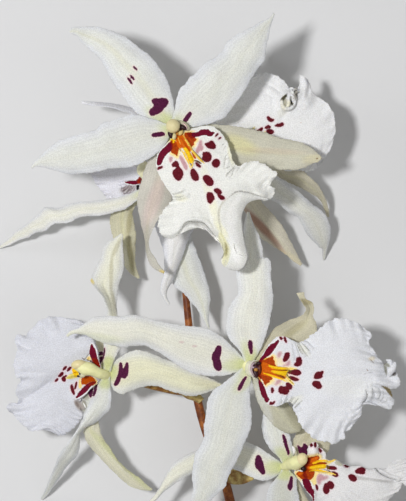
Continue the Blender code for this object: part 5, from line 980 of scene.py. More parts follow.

# Drawn marks: colour, softness in grid units, closed outlines, and lines with their half
# widths.
# Some marks are painted shade: mostly grey and dark lines in creases, pleats and folds.
MARKS = {
    "a_dorsal_sepal": [
        (PURPLE, 0.3, outlines("""151.2,101 152.4,99 154.4,98.6 156,97.6 158,98.8 160.4,98.2
            162.4,97.6 163.6,98.4 165.6,98 167.6,99.6 168.8,102 167.6,104.6 166,106.6 163.6,108.6
            162.6,110.6 160.6,112.6 158,113.8 155,115 152.4,115.8 150,115.2 149.2,112.4 149.6,109.6
            151.6,108.2 153.6,106.8 154,104.8 152.4,103
            / 132.6,67.2 134,65.6 136.2,68 138,69.6 136.8,70.8 134.4,69.4
            / 129,74.6 131,75.2 133.4,76.8 134.8,79 134.6,80.4 132.4,79.8 130.4,77.6
            / 126.8,76.4 129.2,78.8 131.6,81.2 133.2,83.8 132.2,84.8 129.8,82.2 127.8,79.2"""), [])],
    "a_left_petal": [
        (PURPLE, 0.3, outlines("""151,135 152.8,133.2 156,132.6 160,131.8 163,132 165.2,134
            164.4,135.6 162,136.2 158,136.8 154,137.3 151.6,136.6"""), [])],
    "a_right_petal": [
        (PURPLE, 0.3, outlines("""183,123.4 182.8,120.4 185,116.8 187.4,113.4 189.6,111.4 191.6,111.8
            192,114 190,117.6 187.6,120.8 185.2,123.4"""), [])],
    "c_dorsal_sepal": [
        (PURPLE, 0.3, outlines("""216.6,346 218.6,345.4 220.8,345.8 221.4,348 221.2,351 221,353.6
            220,356.4 219.4,358.4 220.8,361.6 221.6,365 221.6,369 219.8,371 217.4,370.8 215,369
            213.4,366 213,361.8 211.4,358 212.2,353.4 214.2,351.6 215.2,348.6"""), [])],
    "c_upper_petal": [
        (PURPLE, 0.3, outlines("""248,342 249.4,339.8 251.4,340 252.6,342.6 252.6,349 252.7,352.6
            251.6,354.4 250.2,353.6 249.2,350 248,346"""), [])],
    "c_lower_petal": [
        (PURPLE, 0.3, outlines("""247,376.4 246.6,378.4 244.6,381.6 242.8,386 240.8,389.8 238.6,391
            237.2,389.6 238.4,386 240.8,382.2 243.2,378.4 245.4,376.4"""), [])],
    "e_dorsal_sepal": [
        (PURPLE, 0.3, outlines("""119.4,363.6 121,362 122.6,363.6 122.7,367 123.2,369 124.3,368.2
            125.3,364.6 127,361.6 128.6,363.4 128.8,366 128.6,371 128.2,374.6 126.8,377 124.6,378.9
            123,378 121.4,377 120.6,380 119.4,383 117.4,385.4 115,386 113.8,384.2 115.2,381.4
            117.4,376.6 118.9,371.6 119.2,367"""), [])],
    "e_upper_petal": [
        (PURPLE, 0.3, outlines("""104.4,347 105.5,347.8 105.2,353 103.6,359.6 101.6,363.2 100,365
            98.6,362 100.6,359 102.8,355"""), [])],
    "e_lower_petal": [
        (PURPLE, 0.3, outlines("""87.2,390 90,387.8 93.8,387.6 93,391.6 91.8,396.6 90.6,398 88.6,394.4
            / 95.8,384.4 97.4,383.8 97.2,388 96,393 94.2,396.4 92.4,396.4 93.6,391.6 94.6,388"""),
            [])],
    "e_upper_sepal": [
        (PURPLE, 0.3, outlines("""97.6,353 103,351.6 104,354 102,355.8 98,356
            / 97.8,358.4 101,356.8 104,357 102.6,361 100,365 98.4,363"""), [])],
    "f_dorsal_sepal": [
        (PURPLE, 0.3, outlines("""256.4,455.6 258.4,454.8 260.8,456.6 261.6,459.6 263.3,463 263.8,467
            265.4,471.6 264.6,474 263,475 260.8,473.2 258.2,470 255.8,467.8 254.6,465 255,460.6
            255.6,457.6"""), [])],
    "f_upper_petal": [
        (PURPLE, 0.3, outlines("""281.8,435 283.4,433.8 285.8,437.4 286.6,441 287.8,446 289.5,451
            289.2,454.4 288,455.2 286.8,452 284.8,446.6 283.4,441"""), [])],
    "f_lower_petal": [
        (PURPLE, 0.3, outlines("""290.2,477 292,476.2 292.9,478 292.3,483 292.7,486 291.6,489.6
            289.6,490.8 287.6,488.6 287.4,485 289.2,482 289.8,479"""), [])],
    "f_upper_sepal": [
        (PURPLE, 0.3, outlines("""297.2,444.6 299.4,445.8 301.8,447.8 303,446.2 303.8,443 305.2,443.2
            306.6,445 308.4,446.4 308.6,450 308.6,457 306.6,456.6 304.8,454 302.8,453 301,453.6
            299.4,453.6 298.2,449"""), [])],
    "a_lip": [
        (LILAC, 0.8, outlines("""179,156 182,156 184,160 186.6,164 187.8,168 186.4,170.4 184,168
            182.4,164 180.4,160 / 169.8,157 172.8,157.4 172.2,160 170.6,163 169.2,160
            / 200,140 202.2,141 201.6,145 204,148 202,151 199.6,150.4 197.6,154 195.4,152
            196.8,148.6 198.8,145"""), []),
        (ORANGE, 0.3, outlines("""170.6,141 172,139 176,141.5 180,146.5 179,149 178.2,151.5 177.6,154
            177.4,157 175.8,155 173.4,153.6 171.4,153 171,150.6 168.4,149.8 167.8,146
            / 184,133 189,132.8 194,133 196.8,136.2 194.4,137.6 197,139.4 195.6,141.4 193.6,142.4
            194.4,145 192,146 190.8,148.6 188.6,147 187,142 185,137"""), []),
        (RED_ORANGE, 0.7, outlines("""170.4,141.4 172.6,144 173,148 171,151 168,152 166,149
            / 186.4,132.4 193,132.8 196.6,133 196,137 192,139 189,137"""), []),
        (BRIGHT_ORANGE, 0.4, outlines("""175.6,133 180.4,132 184.4,136 187.6,141 190.6,147 192,151
            189,152.6 186,150.6 182,147.4 179.8,149.6 177.8,146 176,141 175,137"""), []),
        (AMBER, 0.4, outlines("192,151.6 194.8,153.4 196.9,156.6 196,159.2 193.8,158.4 192.4,155"),
            []),
        (CRIMSON, 0.3, outlines("""169.4,142 166,146.2 162,149.6 159,153 157.4,158 156.6,163
            157.4,165.4 159.5,165.4 161.8,163.6 163.2,159.5 165.2,156 168,153.2 171,151 172,147.4
            171,143.6
            / 192,133 196,132.8 199.5,131.5 201,129.4 202.4,130 204.6,128.8 206,129.8 208.4,129.2
            209.8,131.3 212,132 215,131.8 213,135 210.6,136.6 208,136.2 205.8,135 202,135.6
            199,136.4 195,137.4 192,136.4"""), []),
        (MAROON, 0.3, outlines("""174,162 175.4,160.8 177.2,161.2 179,163.4 179.2,166.4 180.6,168
            182.2,169.6 183.4,173 183.2,176 181.2,179.6 179,181 176.4,180.2 174.2,177.6 172.6,174
            172.8,171 175,169 176.8,167.6 175.4,166.6 173.2,167.2 171.8,165.8 172,163.8
            / 191.2,169.4 193.4,168.2 196.2,171 198.8,175.6 199,179.8 196.6,181.2 193.2,180.6
            191,176.6 190.2,172
            / 203,177 204,175.6 206.2,174.8 209,175.6 212,178.2 213.8,182 213.2,185.2 210.4,186.2
            207.2,185.6 204.8,182.4 202.8,179.2
            / 206.6,195 207.2,192.4 210,192.2 212.6,192.8 214,196 215.2,199 213.2,200.4 212,203.2
            210,204 207.8,202.2 206.8,198.6
            / 213.4,189.6 215.6,188.2 219,188.6 221.8,191.3 222.2,193.6 220,194.7 217.6,194.4
            215,192.4
            / 217.6,194.4 220.4,194.6 223.8,196.3 225.6,198.4 224,200.2 221.4,200.2 219.2,198.2
            217.6,196
            / 204.2,144 206.4,142.8 208.6,142.4 210.4,140.6 212.7,140.6 214.2,143 216,146
            215.4,148.6 213,149.3 209.6,149 206.8,147.6 205.4,145.4
            / 203,152.2 206,151.8 209.2,152.2 211.2,154.5 211.8,157.6 210.2,161.2 207,162.4
            204.2,161.6 201.6,158.8 202.8,156 202.5,154
            / 213,160.4 215,159 217.7,158.8 219.8,161 220.2,164 218,167.4 215,168 212.4,166
            211.4,163 / 195.2,162 198,162.6 201.2,166.2 200.8,167.8 198,167.2 195.6,165
            / 156.4,170 157.8,167.2 160.4,166.1 162.8,165.9 163,167.7 160.4,169 158,170
            / 214.6,137 215.8,134.4 218,132.8 218.6,133.7 217.2,135.8 215.4,137.2
            / 218,139.6 218.9,137.6 221,136.6 221.4,137.6 219.7,139.2 218.6,140"""), []),
        ((236, 234, 200), 1.4, outlines("""219,231 222,234 225,238.4 228,243 229.8,248 230,254
            228.6,260 226.6,265 225,267 222,265 221.6,262 223.6,257 223.6,250 221.6,244.6
            218.6,239"""), []),
        # Painted shade: darker olive in the pocket between the rim and the curl, over the yellow
        # inner face.
        ((188, 182, 140), 1.2, outlines("""224.4,242 226.6,244 228,248 227.8,253 226,258 224.2,261.6
            223.6,261 225,256 225.6,250 225,246"""), []),
        # Painted shade: dark lines at the top of the rolled margin's band and in the curl's crumples.
        ((136, 134, 128), 0.5, [], lines("""176.4,235.6 180,230.6 182.4,226 185.6,222.2 189,221
            193,221.4 198,221.4 203,222.2 207,225.6 211,230.6 216,236.6: 0.35
            / 233.6,243 234.6,248 236.6,253: 0.25 / 238.6,253.6 243,255.6 246.6,255.6: 0.25""")),
        # Painted shadow: a thin grey line along the curl's top edge.
        ((178, 176, 172), 0.5, [], lines("""268,198.4 262,196.9 256,194.7 250,193 245,192.2 240,191.5
            235,192.6 231,195.6 227.6,198.2: 0.5""")),
        # Painted shade: a soft pale line along the curl's left edge.
        ((206, 204, 190), 0.9, [],
            lines("227.6,198.2 223,203 220,208 218.8,214 219.6,222 221,229: 0.7")),
        # Painted shade in the pleats of the waists.
        ((184, 184, 178), 0.7, [], lines("""224.2,142.6 221.4,147: 0.25 / 225.8,145.6 223.2,150: 0.25
            / 228.8,153 225.8,156 224.4,160.4: 0.35 / 229.6,157 226,160 224,164 224,167: 0.35
            / 233,164 228,167.4 223.6,168.6: 0.3 / 234.6,166 231,170.4 226.2,175 226.6,177: 0.4
            / 236,166.6 233,171.6 231.4,176: 0.35 / 237.8,167 237,171: 0.3
            / 239.6,166.6 238.6,169.6: 0.25 / 172,197 178,197.6 184,196: 0.3
            / 172.6,193.6 178,192.8 183,190.6: 0.3""")),
        ((192, 130, 70), 0.4, [], lines("""222.6,203.4 222.8,204: 0.3 / 232.4,191.6 232.6,192: 0.3
            / 217.6,226.6 217.8,227: 0.3 / 212,215 212.2,215.2: 0.25 / 246,170 246.2,170.2: 0.25""")),
        # Painted shade: brown in the fork between the ridges.
        ((96, 60, 14), 0.5, [], lines("""194.6,160.6 198,161.6 201,163.6: 1
            / 191,162.6 192.4,168: 0.7""")),
        (YELLOW, 0.4, outlines("""183.4,147.4 186,148 189.2,152.4 191.8,156 194,159 193.8,161.4
            191.4,164 188.8,160.4 187.2,156 185,151.8"""),
            lines("171.4,139.8 174,139.6 173.4,142.6: 1.2")),
        (LINE_YELLOW, 0.35, [], lines("""181.6,133.6 185.4,139 188.6,144.4 192,150.4: 0.5
            / 179.8,148.4 183.4,152.4 185.8,157.4 188.4,162 190.6,168.6: 0.75
            / 191.6,150.4 196.2,155.2 200.4,159.8 204.2,163.2: 0.8
            / 192.2,161 192.4,165 191,169: 0.6 / 178,138 181,144: 0.4""")),
        (BROWN, 0.3, [], lines("""184.2,149.4 186.6,154.4 188.6,159.6 191.6,165: 0.3
            / 192.6,150.6 197,154.8 201.4,159.4 204.6,162.6: 0.28 / 179.4,149 180.6,151.2: 0.4"""))],
    "b_lip": [
        ((192, 130, 70), 0.4, [], lines("""301,122.6 301.2,122.8: 0.3 / 308,133 308.2,133.2: 0.3
            / 328.4,120 328.6,120.2: 0.25""")),
        (MAROON, 0.3, outlines("""266.6,117 268.2,115.8 269.8,117.2 271,118.4 274.8,119.2 273.2,121.6
            270.4,122 267.8,120.6
            / 274.6,125.6 277,123.6 280,123.6 281.8,122.4 283.6,122.9 284,124.9 282,126.4 278,127
            275.4,126.5
            / 264.6,127.4 266.4,125.4 269,125 270.8,126.4 270.2,128.2 267.6,129.2 265.2,128.7
            / 266.2,130.6 269,128.8 272,129.2 274.4,131.4 273.2,133.5 270,134.5 266.8,133
            / 255.4,130 259,129.2 261.2,127 263.2,127.4 262.6,130 261,132 258,130.9"""), [])],
    "c_lip": [
        # Painted shade in the pleats at the waists.
        ((168, 168, 158), 0.6, [], lines("""296.7,342.4 299,348 302.5,354: 0.5
            / 299.3,343 303,350 307.7,356.6: 0.5 / 302.5,343.4 305.4,347 308.8,350.8: 0.45
            / 306.7,341.3 310.4,344.5: 0.3 / 280.3,404.8 282.4,400.4: 0.5
            / 285.6,402.8 287.7,398.2: 0.5 / 290.3,403.7 294,397.2: 0.4
            / 292.5,405.8 298.3,398.2: 0.4 / 294,408 302.5,400.4: 0.5""")),
        # Painted shade in the creases of the lower lobe and below the frill.
        ((118, 116, 110), 0.6, [],
            lines("""365.4,389.6 366.2,392.6 366.8,396 366,399 363.4,401.6 361.8,404.4: 0.4
            / 364.4,374.2 368,373 374,372.6: 0.3""")),
        # Painted shade between the folds of the fan.
        ((176, 178, 178), 0.8, [], lines("""378.4,388.6 380,392 379.3,397 376.5,401: 0.4
            / 383.4,391.4 383.4,395 382,399 379,402: 0.35 / 391,399.4 386.6,400.6 382,403: 0.35
            / 372,388 372.4,393 371,399: 0.3""")),
        # Painted shade: brown over the fan's lower, shaded part.
        ((146, 132, 100), 0.5, outlines("""380.4,385.2 385,386.2 389.6,388.6 392.6,391.4 394.6,395
            395,399.4 392.4,397.8 389.4,393.8 386,390 382.4,387.2"""), []),
        ((150, 116, 84), 0.5, [], lines("""370.6,357.6 370.6,360 373.4,363.2: 0.3
            / 366.6,369 368,370.6: 0.45""")),
        ((250, 228, 160), 0.6, outlines("""282,367.2 290,366.8 296,368 298,369.2 292,370.6 289,372
            288.6,375 290.4,378 293,382 295,385 292.6,385.2 289,382 284,381.6 281,379"""), []),
        (LILAC, 1.5, outlines("""277.4,354 280,351.6 281.8,352.4 280.6,356 278.4,357.6
            / 282,366 286,364.4 289,360.4 290.4,361 289.6,365.6
            / 275,386 276.6,380.6 281,379.6 280.8,382.4 277,384.4"""), []),
        (ORANGE, 0.3, outlines("""260,359 266,358 270,357.6 271.4,356.6 272.6,355.8 273.9,357.4
            273,359.4 275.3,361 274.4,363 276.4,366.8 272,366.8 268,366 264,365 260,363
            / 259.6,372 264,373 268,374.6 271.6,376.8 273,379 270.8,380.3 269.6,380.3 270,382.6
            267.2,383.3 265.6,385.4 263.8,384 263.8,381.6 261.6,379 259.6,376"""), []),
        (BRIGHT_ORANGE, 0.5, outlines("""260,361 266,362.8 272,366 280,367.6 288,368.6 286.6,372
            285.6,375.6 285.8,378.6 282,379.2 276,377.8 270,376 264,375.6 259.6,372.6 259,366"""),
            []),
        (RED_ORANGE, 0.7, outlines("""258,359.6 262,358.6 262.6,362 260.4,366 258.6,366
            / 257.6,372 260,374 262,379 260,380 257.6,377"""), []),
        (CRIMSON, 0.3, outlines("""278.8,339 279.2,342 276.6,346 273.8,350 271.2,353.8 267,357
            263.6,359.6 260.4,360.2 259.8,358.6 262.8,355.8 264.8,352.4 265.8,349.8 268.8,346.4
            271.4,343.8 274.8,342.8 276.6,340.6
            / 257.8,377.6 261,379.6 262.8,384 265,388 266.4,393 267.8,397 269.8,399 268.2,402
            266,403.4 263.3,400 260.7,396 258.3,392 258,389 257.7,386 258.4,383 257.2,380"""), []),
        (MAROON, 0.3, outlines("""283.8,356.6 285.4,352.8 287.6,351.8 289.8,352.8 290,356 288.2,359.6
            285.6,361.7 283.2,361.6 282.8,360
            / 297,357.8 299,356.8 301.2,357.8 302.2,361 301.8,364.2 299.4,366.2 296,366.4
            293.8,365.2 294.8,363 296.2,362 296,360
            / 280.6,385.8 282.6,386.4 285,386.8 286.4,385.6 285.8,383.2 288,382.2 291.2,384
            292.8,387 291.2,389.7 289,389.6 289.2,391.6 287.2,394.6 284.4,394.8 283,393.6 281,394.2
            278.8,392.6 278.4,389.6 279.2,387.2
            / 271.2,387.8 273,387.4 274.2,389.6 273.8,392.2 272,393.7 271,392
            / 313.8,377 315.2,373 318,371.4 320.6,371.8 323,370.2 323.7,372.6 322.2,374.8 323,376.8
            320.6,378.6 317,379.1 313.8,378.7
            / 312,383.6 313.6,380.8 317,380.6 320.2,381.8 321.2,384.6 322.4,386.8 320.6,388.5
            318,389.4 315.2,387.3 312.8,385.8
            / 288.4,371.4 292,370 296,369.2 299.2,369.8 301.8,372.4 300.4,375 296,375.9 291,374.8
            287.8,373.6 / 288.4,376 292,376.2 296,376.8 299.4,379 298.3,381 294,381.1 290,379.1
            / 279.2,335.8 281.8,336.2 282.7,338.4 281.7,340.3 280.2,339.6
            / 283.8,336.6 285.2,336.4 286.9,340 286.9,343 285.2,342.3 283.9,339
            / 269,404.2 270.2,401.6 272,401.8 272.7,402.8 274,400.8 275.3,400.8 274.8,403.2
            272.4,405 269.8,405.3"""), []),
        # Painted shade: dark olive between the fork and the maroon dots.
        ((96, 76, 20), 0.6, [], lines("""290.4,369.2 288,371.2 287,373.6 287.4,375.6 289,377: 0.6
            / 289,371 291,371.6: 1 / 288.6,377 290.6,378: 0.9""")),
        ((248, 214, 206), 0.4, [], lines("288.6,374 293,375.4 297,377.4 300,379.4: 0.5")),
        (YELLOW, 0.45, outlines("""270.6,370.8 276,371.2 282,371.6 285.6,371.2 288.4,369.8 287,372
            286,373.6 285.6,376 282.6,374.8 278,373.6 273.6,372.4"""),
            lines("""268.6,365.4 274,367.6 280,368.2 285,368.6 289.4,369: 0.95
            / 264,373 270,375.2 276,377.4 281,379 284.6,380.4: 0.95""")),
        ((174, 100, 4), 0.45,
            outlines("""273.6,369.7 280,369.6 288.8,369 286,370.4 282,370.8 276,370.5
            / 275.6,374 280,374.6 284,375.9 285.6,378.8 283.4,378.5 279,376.2"""), []),
        (LINE_YELLOW, 0.4, [], lines("""286,368.8 293.6,369: 0.6
            / 285,375.6 289.4,380 293.6,384.4: 0.6 / 280,379.2 285,380.2: 0.5
            / 258.6,377 262,382: 0.35 / 264,359.4 268,357.6: 0.4""")),
        (BROWN, 0.35, [], lines("""277,369.6 283,370 288,369.8: 0.4
            / 280.6,375.4 283.4,376.6 284.8,378.6: 0.5 / 289,379.4 292,382.4 295,385.4: 0.25"""))],
    "d_lip": [
        # Painted shade in the pleats of the waist.
        ((158, 142, 148), 0.35, [], lines("""121.6,187 122,190.6 124.6,194: 0.35
            / 124,193.6 125.4,189 129.6,185.8: 0.4 / 127,193.6 128.6,189.6 132,186.4: 0.4
            / 130,193 131.6,190 134,187: 0.35 / 132.6,192 134,190 135.4,187.6: 0.3""")),
        ((36, 28, 32), 0.3, outlines("136.6,185.4 139.6,184.8 139,189 137,192"), []),
        (CRIMSON, 0.3, outlines("""124.2,182.4 128,181 132,180.6 136,180.6 138,179.2 139.8,177.4
            142,176.8 141.4,180 140.2,183.8 137,184.6 133,184.8 129,183.9"""), []),
        (RED_ORANGE, 0.6, outlines("137.4,180 140,177 142.6,176 141.6,184 137.4,183.6"), [])],
    "e_lip": [
        (PALE_YELLOW, 0.6,
            outlines("""79.4,378.4 80.8,377.6 80.8,383 82.6,386 80,389 78.8,388 78.8,382
            / 92,376.4 98,381 97,384 92,386.6 91,384
            / 86.6,358.4 88.8,356 90.8,357 90.8,360 88,360.2"""),
            lines("76,376.6 70,377.6 65.6,378: 0.9")),
        ((240, 224, 120), 0.7,
            outlines("66,377.6 69.6,375 73.6,373.8 78.6,374 79,376 76,377.8 71,378.4 67,378.6"),
            []),
        ((206, 150, 20), 0.6, outlines("73.4,374.4 78.4,374.2 78.6,376 75,376.6"), []),
        (AMBER, 0.3, outlines("""81.4,384.4 81.2,380 82.2,377 84.6,376 91.6,376.4 94,378.6 97,382.6
            93,384 88,383.6 86,385.4 84.6,384.4 83,385"""), []),
        (CRIMSON, 0.3, outlines("""96.6,381.8 90.4,382.4 85.8,385 81.2,389.2 77.4,394.4 75.4,398.8
            78.4,397.6 82.6,395.2 86.6,392.2 89.4,388.6 91.8,386.1 95.6,384
            / 91.6,343.2 93.6,346 95.8,349.6 96.9,354.6 97.6,358 99.2,363 101,367.8 97.4,366
            94.6,362.6 92.4,359.8 90.4,357 89.4,353 89.9,348"""), []),
        (RED_ORANGE, 1.2, outlines("""91,358 97.6,358 101,367.6 96,366 92,362
            / 96.6,382 90.6,382.8 88.4,386 90.8,386.4 95,384"""), []),
        (YELLOW, 0.35, outlines("""71.8,368.4 73.6,367.2 77.2,369.4 78.9,372 78.6,375 76.6,376.1
            73.8,375.3 72.2,372"""), []),
        ((206, 136, 24), 0.5, outlines("73.4,372 75,371.6 76.6,372.6 75,373.4"), []),
        (DARK, 0.25, [], lines("77.4,370.4 79.6,372.6 79.8,374.6 78.8,377: 0.5")),
        (MAROON, 0.3, outlines("""62.4,369.8 64,366.8 66.2,365.8 67.2,367 65,369.6 63.2,370.6
            / 66.6,370.8 68,367.8 70,366.6 71.8,366.9 70.5,369.2 69,371 67.3,371.7
            / 57.8,376.2 60,372.8 62.4,371.4 64,373 62.5,375.8 60,376.9
            / 63.8,381.9 61.8,380 61.6,378 63,376.4 65.4,375 67.3,374.8 66.7,376.6 65.2,377.2
            66.2,379 65.6,381.3 / 54.6,381.6 55,379.6 56.8,378 58.4,378.2 58,380.4 56.4,382
            / 70.4,385 72.6,384.2 73.6,387.6 74.8,391.6 75.2,394.6 74,395 71.8,392 70.5,388.6
            / 75.8,382 77.2,381.4 77.2,385 76.2,388.9 74.6,389.2 74.8,385.6"""), []),
        (BROWN, 0.3, [], lines("87.6,359.8 92,361.6 96,364.8 100.4,368.2: 0.55"))],
    "f_lip": [
        ((250, 230, 160), 0.8, outlines("""312,470.6 316,470 322,471 328,472.6 334,475 333,476 327,474
            320,472.8 317,475 316,479 316.8,484 314,486 311.6,482 311,478
            / 326,461.6 330,460.2 334,458.6 337,459.2 333,461.6 329,464 326,464"""), []),
        ((196, 194, 176), 0.8, outlines("334,462.4 337,460.8 340.6,463 343,466 338,465.6"), []),
        (LILAC, 1.4, outlines("""316.8,478 319,474 322,474.4 324,476.8 327.8,475.8 328.2,478.2
            324,479.8 321,481 320.2,484.4 317.8,484.2 317.2,481"""), []),
        (ORANGE, 0.3, outlines("""306,458 311,456.4 314,456 318,455.2 320.4,457 318.2,459.6 320,462
            326.4,461.4 327,464 321,465 314,466 311,467.4 313.4,470 315,471.6 314.3,474.6 313.6,477
            311,479.8 309,480.4 306,479 303,480.4 300.4,478.2 297.2,475.6 296,474 299,471.6 303,470
            304.6,466 304.4,462"""), []),
        (RED_ORANGE, 0.8, outlines("""303,463 306,460 309,457.6 311.4,458.6 309,463.4 306.6,469
            305.4,473 308.4,477.4 306,479.6 302.6,476 301.6,471"""), []),
        (BRIGHT_ORANGE, 0.9, outlines("""309.4,462 313,457.6 319,455.6 318,459.4 313,464
            / 308,466 312,464.6 318,464 316,467.6 312,470 308,469.4
            / 297.6,473 303,472 303,474 299,476"""), []),
        (CRIMSON, 0.3, outlines("""302.6,479 308.2,479 310.2,482 311.3,486 312.2,489.2 313.8,489.9
            314.1,495 314,502 312.8,502 312.6,497 309,493.4 304.8,489.6 303.6,485 302.2,481"""), []),
        (MAROON, 0.3,
            outlines("""326,466.2 330,465.8 334.2,465.8 337.3,468 336.2,469.9 332,469.7 327.4,469
            / 331,471.6 334,471.2 337.2,472.8 338.7,475 337.6,476.9 335,476.9 331.6,474.8
            334.6,474.2 / 315.4,484.5 316.9,484.6 318.3,487.6 317.8,490.7 316.3,490.3 315.6,487
            / 324.8,483 327,483.4 328,481.8 330,480.8 332.6,481.8 334.5,485 333.8,487.8 331.4,489.5
            329.6,488.4 329.6,491 328,494 325.3,494.3 323.2,491.7 322.8,488.6 323.8,486
            / 354.4,471.4 357,468.8 360,467.4 363,467.6 365.7,469.6 364.7,471.8 365.3,473.6
            362,474.3 359,473.7 356.2,473.3
            / 347.8,476 350,474.4 353,474.8 355.8,476.8 357.3,479.4 355.2,481.7 352,481.3
            349.2,479.2 / 343,465.4 345.6,464.8 349.2,466.4 347.6,467.7 344.6,467
            / 310.2,444.6 311.6,443 313,444.6 312.6,447 310.9,446.9
            / 313.8,443 315.6,441.8 316.3,444 315.6,447.3 314,447.3
            / 318.2,448.2 320,447.8 321.8,450 322,452.2 320.1,452.5 318.8,450.6"""), []),
        # Painted shade along the fold's crease and in the notch between the lobes.
        ((128, 126, 120), 0.8, [], lines("""375,467.4 378.4,471.4 384,475.4 391,478.8: 0.4
            / 317.8,447 318.6,451 318,456.6: 0.35""")),
        # Painted shade: brown between the ridges.
        ((112, 84, 22), 0.6, [], lines("""326.6,465.4 328.4,467 327.4,469: 1
            / 328.6,471 331,472: 0.7""")),
        (YELLOW, 0.4,
            outlines("308.6,467.8 315,465.6 321,464.8 326.4,464.8 325.2,468.3 319,468.3 313,469"),
            lines("""313,463.4 320,461 326.4,460.6: 0.8
            / 309.6,471 314,470 320,470.4 326,471.6: 0.8""")),
        (LINE_YELLOW, 0.4, [], lines("""326,460.8 328.4,461.6 332,460.8 336,459.2: 0.8
            / 326,471.6 331,473 335.4,474.8: 0.7""")),
        (AMBER, 0.4, [], lines("319,463 325,462.6: 0.6 / 314,468.9 322,469: 0.4")),
        (BROWN, 0.35, [], lines("""322,469.2 328,470.8 333,472.4: 0.35 / 316,464.2 325,463.8: 0.4
            / 327.4,464.4 326.6,467.6: 0.35"""))],
}

# Ridges of the calluses: plan points, half width in grid units, and rise in millimetres.
RIDGES = {
    "a_callus": lines("""179,136 184,146 188.4,153 191,160 192.6,167: 1.5 1.2
        / 182,134 187,142 191,149.6 197,156.6 204.6,163.4: 1 1.2
        / 178,143 182.4,150 186,157 189,163.6 190.8,169: 0.9 1.1 / 172,140 176,147: 1.5 0.7
        / 187,135.4 191,143: 1.6 0.6"""),
    "b_callus": lines("262,134 266,131.6 268.6,129: 1.2 0.5"),
    "c_callus": lines("""260,366 268,366 278,367.8 286,368.8 292,368.8: 1.2 1
        / 262,370 270,371.4 280,373 287.4,374: 1.8 1 / 260,372.6 268,375 277,378.4 284,380: 1.2 0.9
        / 284,375 289,380 292,383: 0.7 0.8"""),
    "d_callus": lines("142,178.4 138,178: 1.2 0.4"),
    "e_callus": lines("80,370.6 74,370.4: 2 1.2 / 80,374.4 73,375 67,376.6: 1.5 1.1"),
    "f_callus": lines("""303,464.6 309,464.6 320,461.6 328,460.8: 1.2 1.1
        / 303,468 311,467.8 320,466.6 326,466.4: 1.8 1.1
        / 305,471 314,470 322,470.8 331,473: 1.2 0.9 / 307,461 313,458.6 318,456.4: 1.3 0.9"""),
}

# The columns' shapes: tubes as (points with heights, radii in mm, widening, colour), and balls as
# (middle, sizes in mm, turn in degrees, colour).
COLUMN_TUBES = {
    "a_column": [
        (curve("""172,129.5,56.4 172,129,58.5 172,128.4,61 172,128,63.2 172.3,127.6,66
            172.6,127,68.6"""), [1.5, 1.9, 2.0, 2.3, 2.6, 2.2], 1.0, GREEN_CREAM),
        (curve("182.4,122.8,68.6 185,125,68.9 187.6,129,68.4"), [0.12, 0.24, 0.12], 1.0, ROSE)],
    "b_column": [
        (curve("""250,142,27 250,142,29.5 250.4,141.4,32 251,140.6,35 252.2,139,38
            253.2,137.2,40.8 253.8,136,42.4"""), [1.5, 1.9, 2.0, 1.9, 1.9, 2.2, 1.1], 1.0,
            GREEN_CREAM)],
    "c_column": [
        (curve("247.6,365,42.6 247.8,365,45 248,365.4,48 248.4,366.6,50"), [1.5, 1.9, 2.2, 2.6],
            1.0, GREEN_CREAM),
        (curve("""257.4,360.4,51.6 253,361.4,52.2 250.2,364.6,52.5 249.4,368.6,52.5 250.6,373,52.3
            253,376.6,52 255.6,378.8,51.4"""), [0.15, 0.35, 0.55, 0.6, 0.55, 0.35, 0.15], 1.0,
            (222, 216, 206)),
        (curve("""256.4,362.4,52.4 253.4,363.6,52.8 251.8,366.4,53 251.4,369.6,53 252.6,373.2,52.8
            254.6,376.2,52.4"""), [0.15, 0.35, 0.4, 0.4, 0.35, 0.1], 1.0, (178, 158, 168))],
    "d_column": [
        (curve("""150.6,186,18.6 150.4,186,21 150.2,185.6,24 149.4,183.6,27 147.4,179,30.4
            144.4,173.4,33.4 142.6,170,34.6"""), [1.5, 1.9, 2.0, 1.8, 1.7, 1.7, 0.9], 1.3,
            (236, 232, 196))],
    "e_column": [
        (curve("107.6,373,31 107.4,373,33 107.2,373,34.6 106.8,373.4,36"), [1.5, 1.9, 1.9, 1.5],
            1.0, GREEN_CREAM),
        (curve("""110.4,375,31.6 106.6,374.8,35 102.6,374.2,37.8 98.4,372.8,39.6 94,370.8,40.6
            90,369,41.2 85,368.2,41.4 80,366.4,41.4 76,365,41.2 73.6,364.6,40.8"""),
            [1.5, 2.1, 2.2, 2.35, 2.7, 2.9, 2.8, 2.3, 1.9, 1.2], 1.0, GREEN_CREAM),
        (curve("84.4,359.6,41 86.4,357,41.4 89,353.4,41.2"), [0.14, 0.2, 0.1], 1.0, GREY),
        (curve("81.8,357.8,40.6 84.4,359.6,41"), [0.1, 0.2], 1.0, BROWN)],
    "f_column": [
        (curve("285.6,467.4,25.4 285.6,467.4,27.6 285.8,467.4,30 286.2,467,31.2"),
            [1.5, 1.9, 1.9, 1.6], 1.0, GREEN_CREAM),
        (curve("""282.6,466.8,30.6 287,465.2,33 290.6,464,34.8 294.4,462.8,36.4 298,461.6,37.4
            301.6,460.4,38 304.6,459.4,38"""), [1.4, 2.1, 2.45, 2.8, 2.75, 2.3, 1.4], 1.0,
            GREEN_CREAM),
        (curve("297.6,470.2,36.4 301.6,471,36.4 304.6,470.8,36"), [0.15, 0.28, 0.12], 1.0, SNOW),
        (curve("292.6,446,35.6 294,450,35.8 294,454.4,35.6"), [0.3, 0.55, 0.2], 1.0, SNOW)],
}
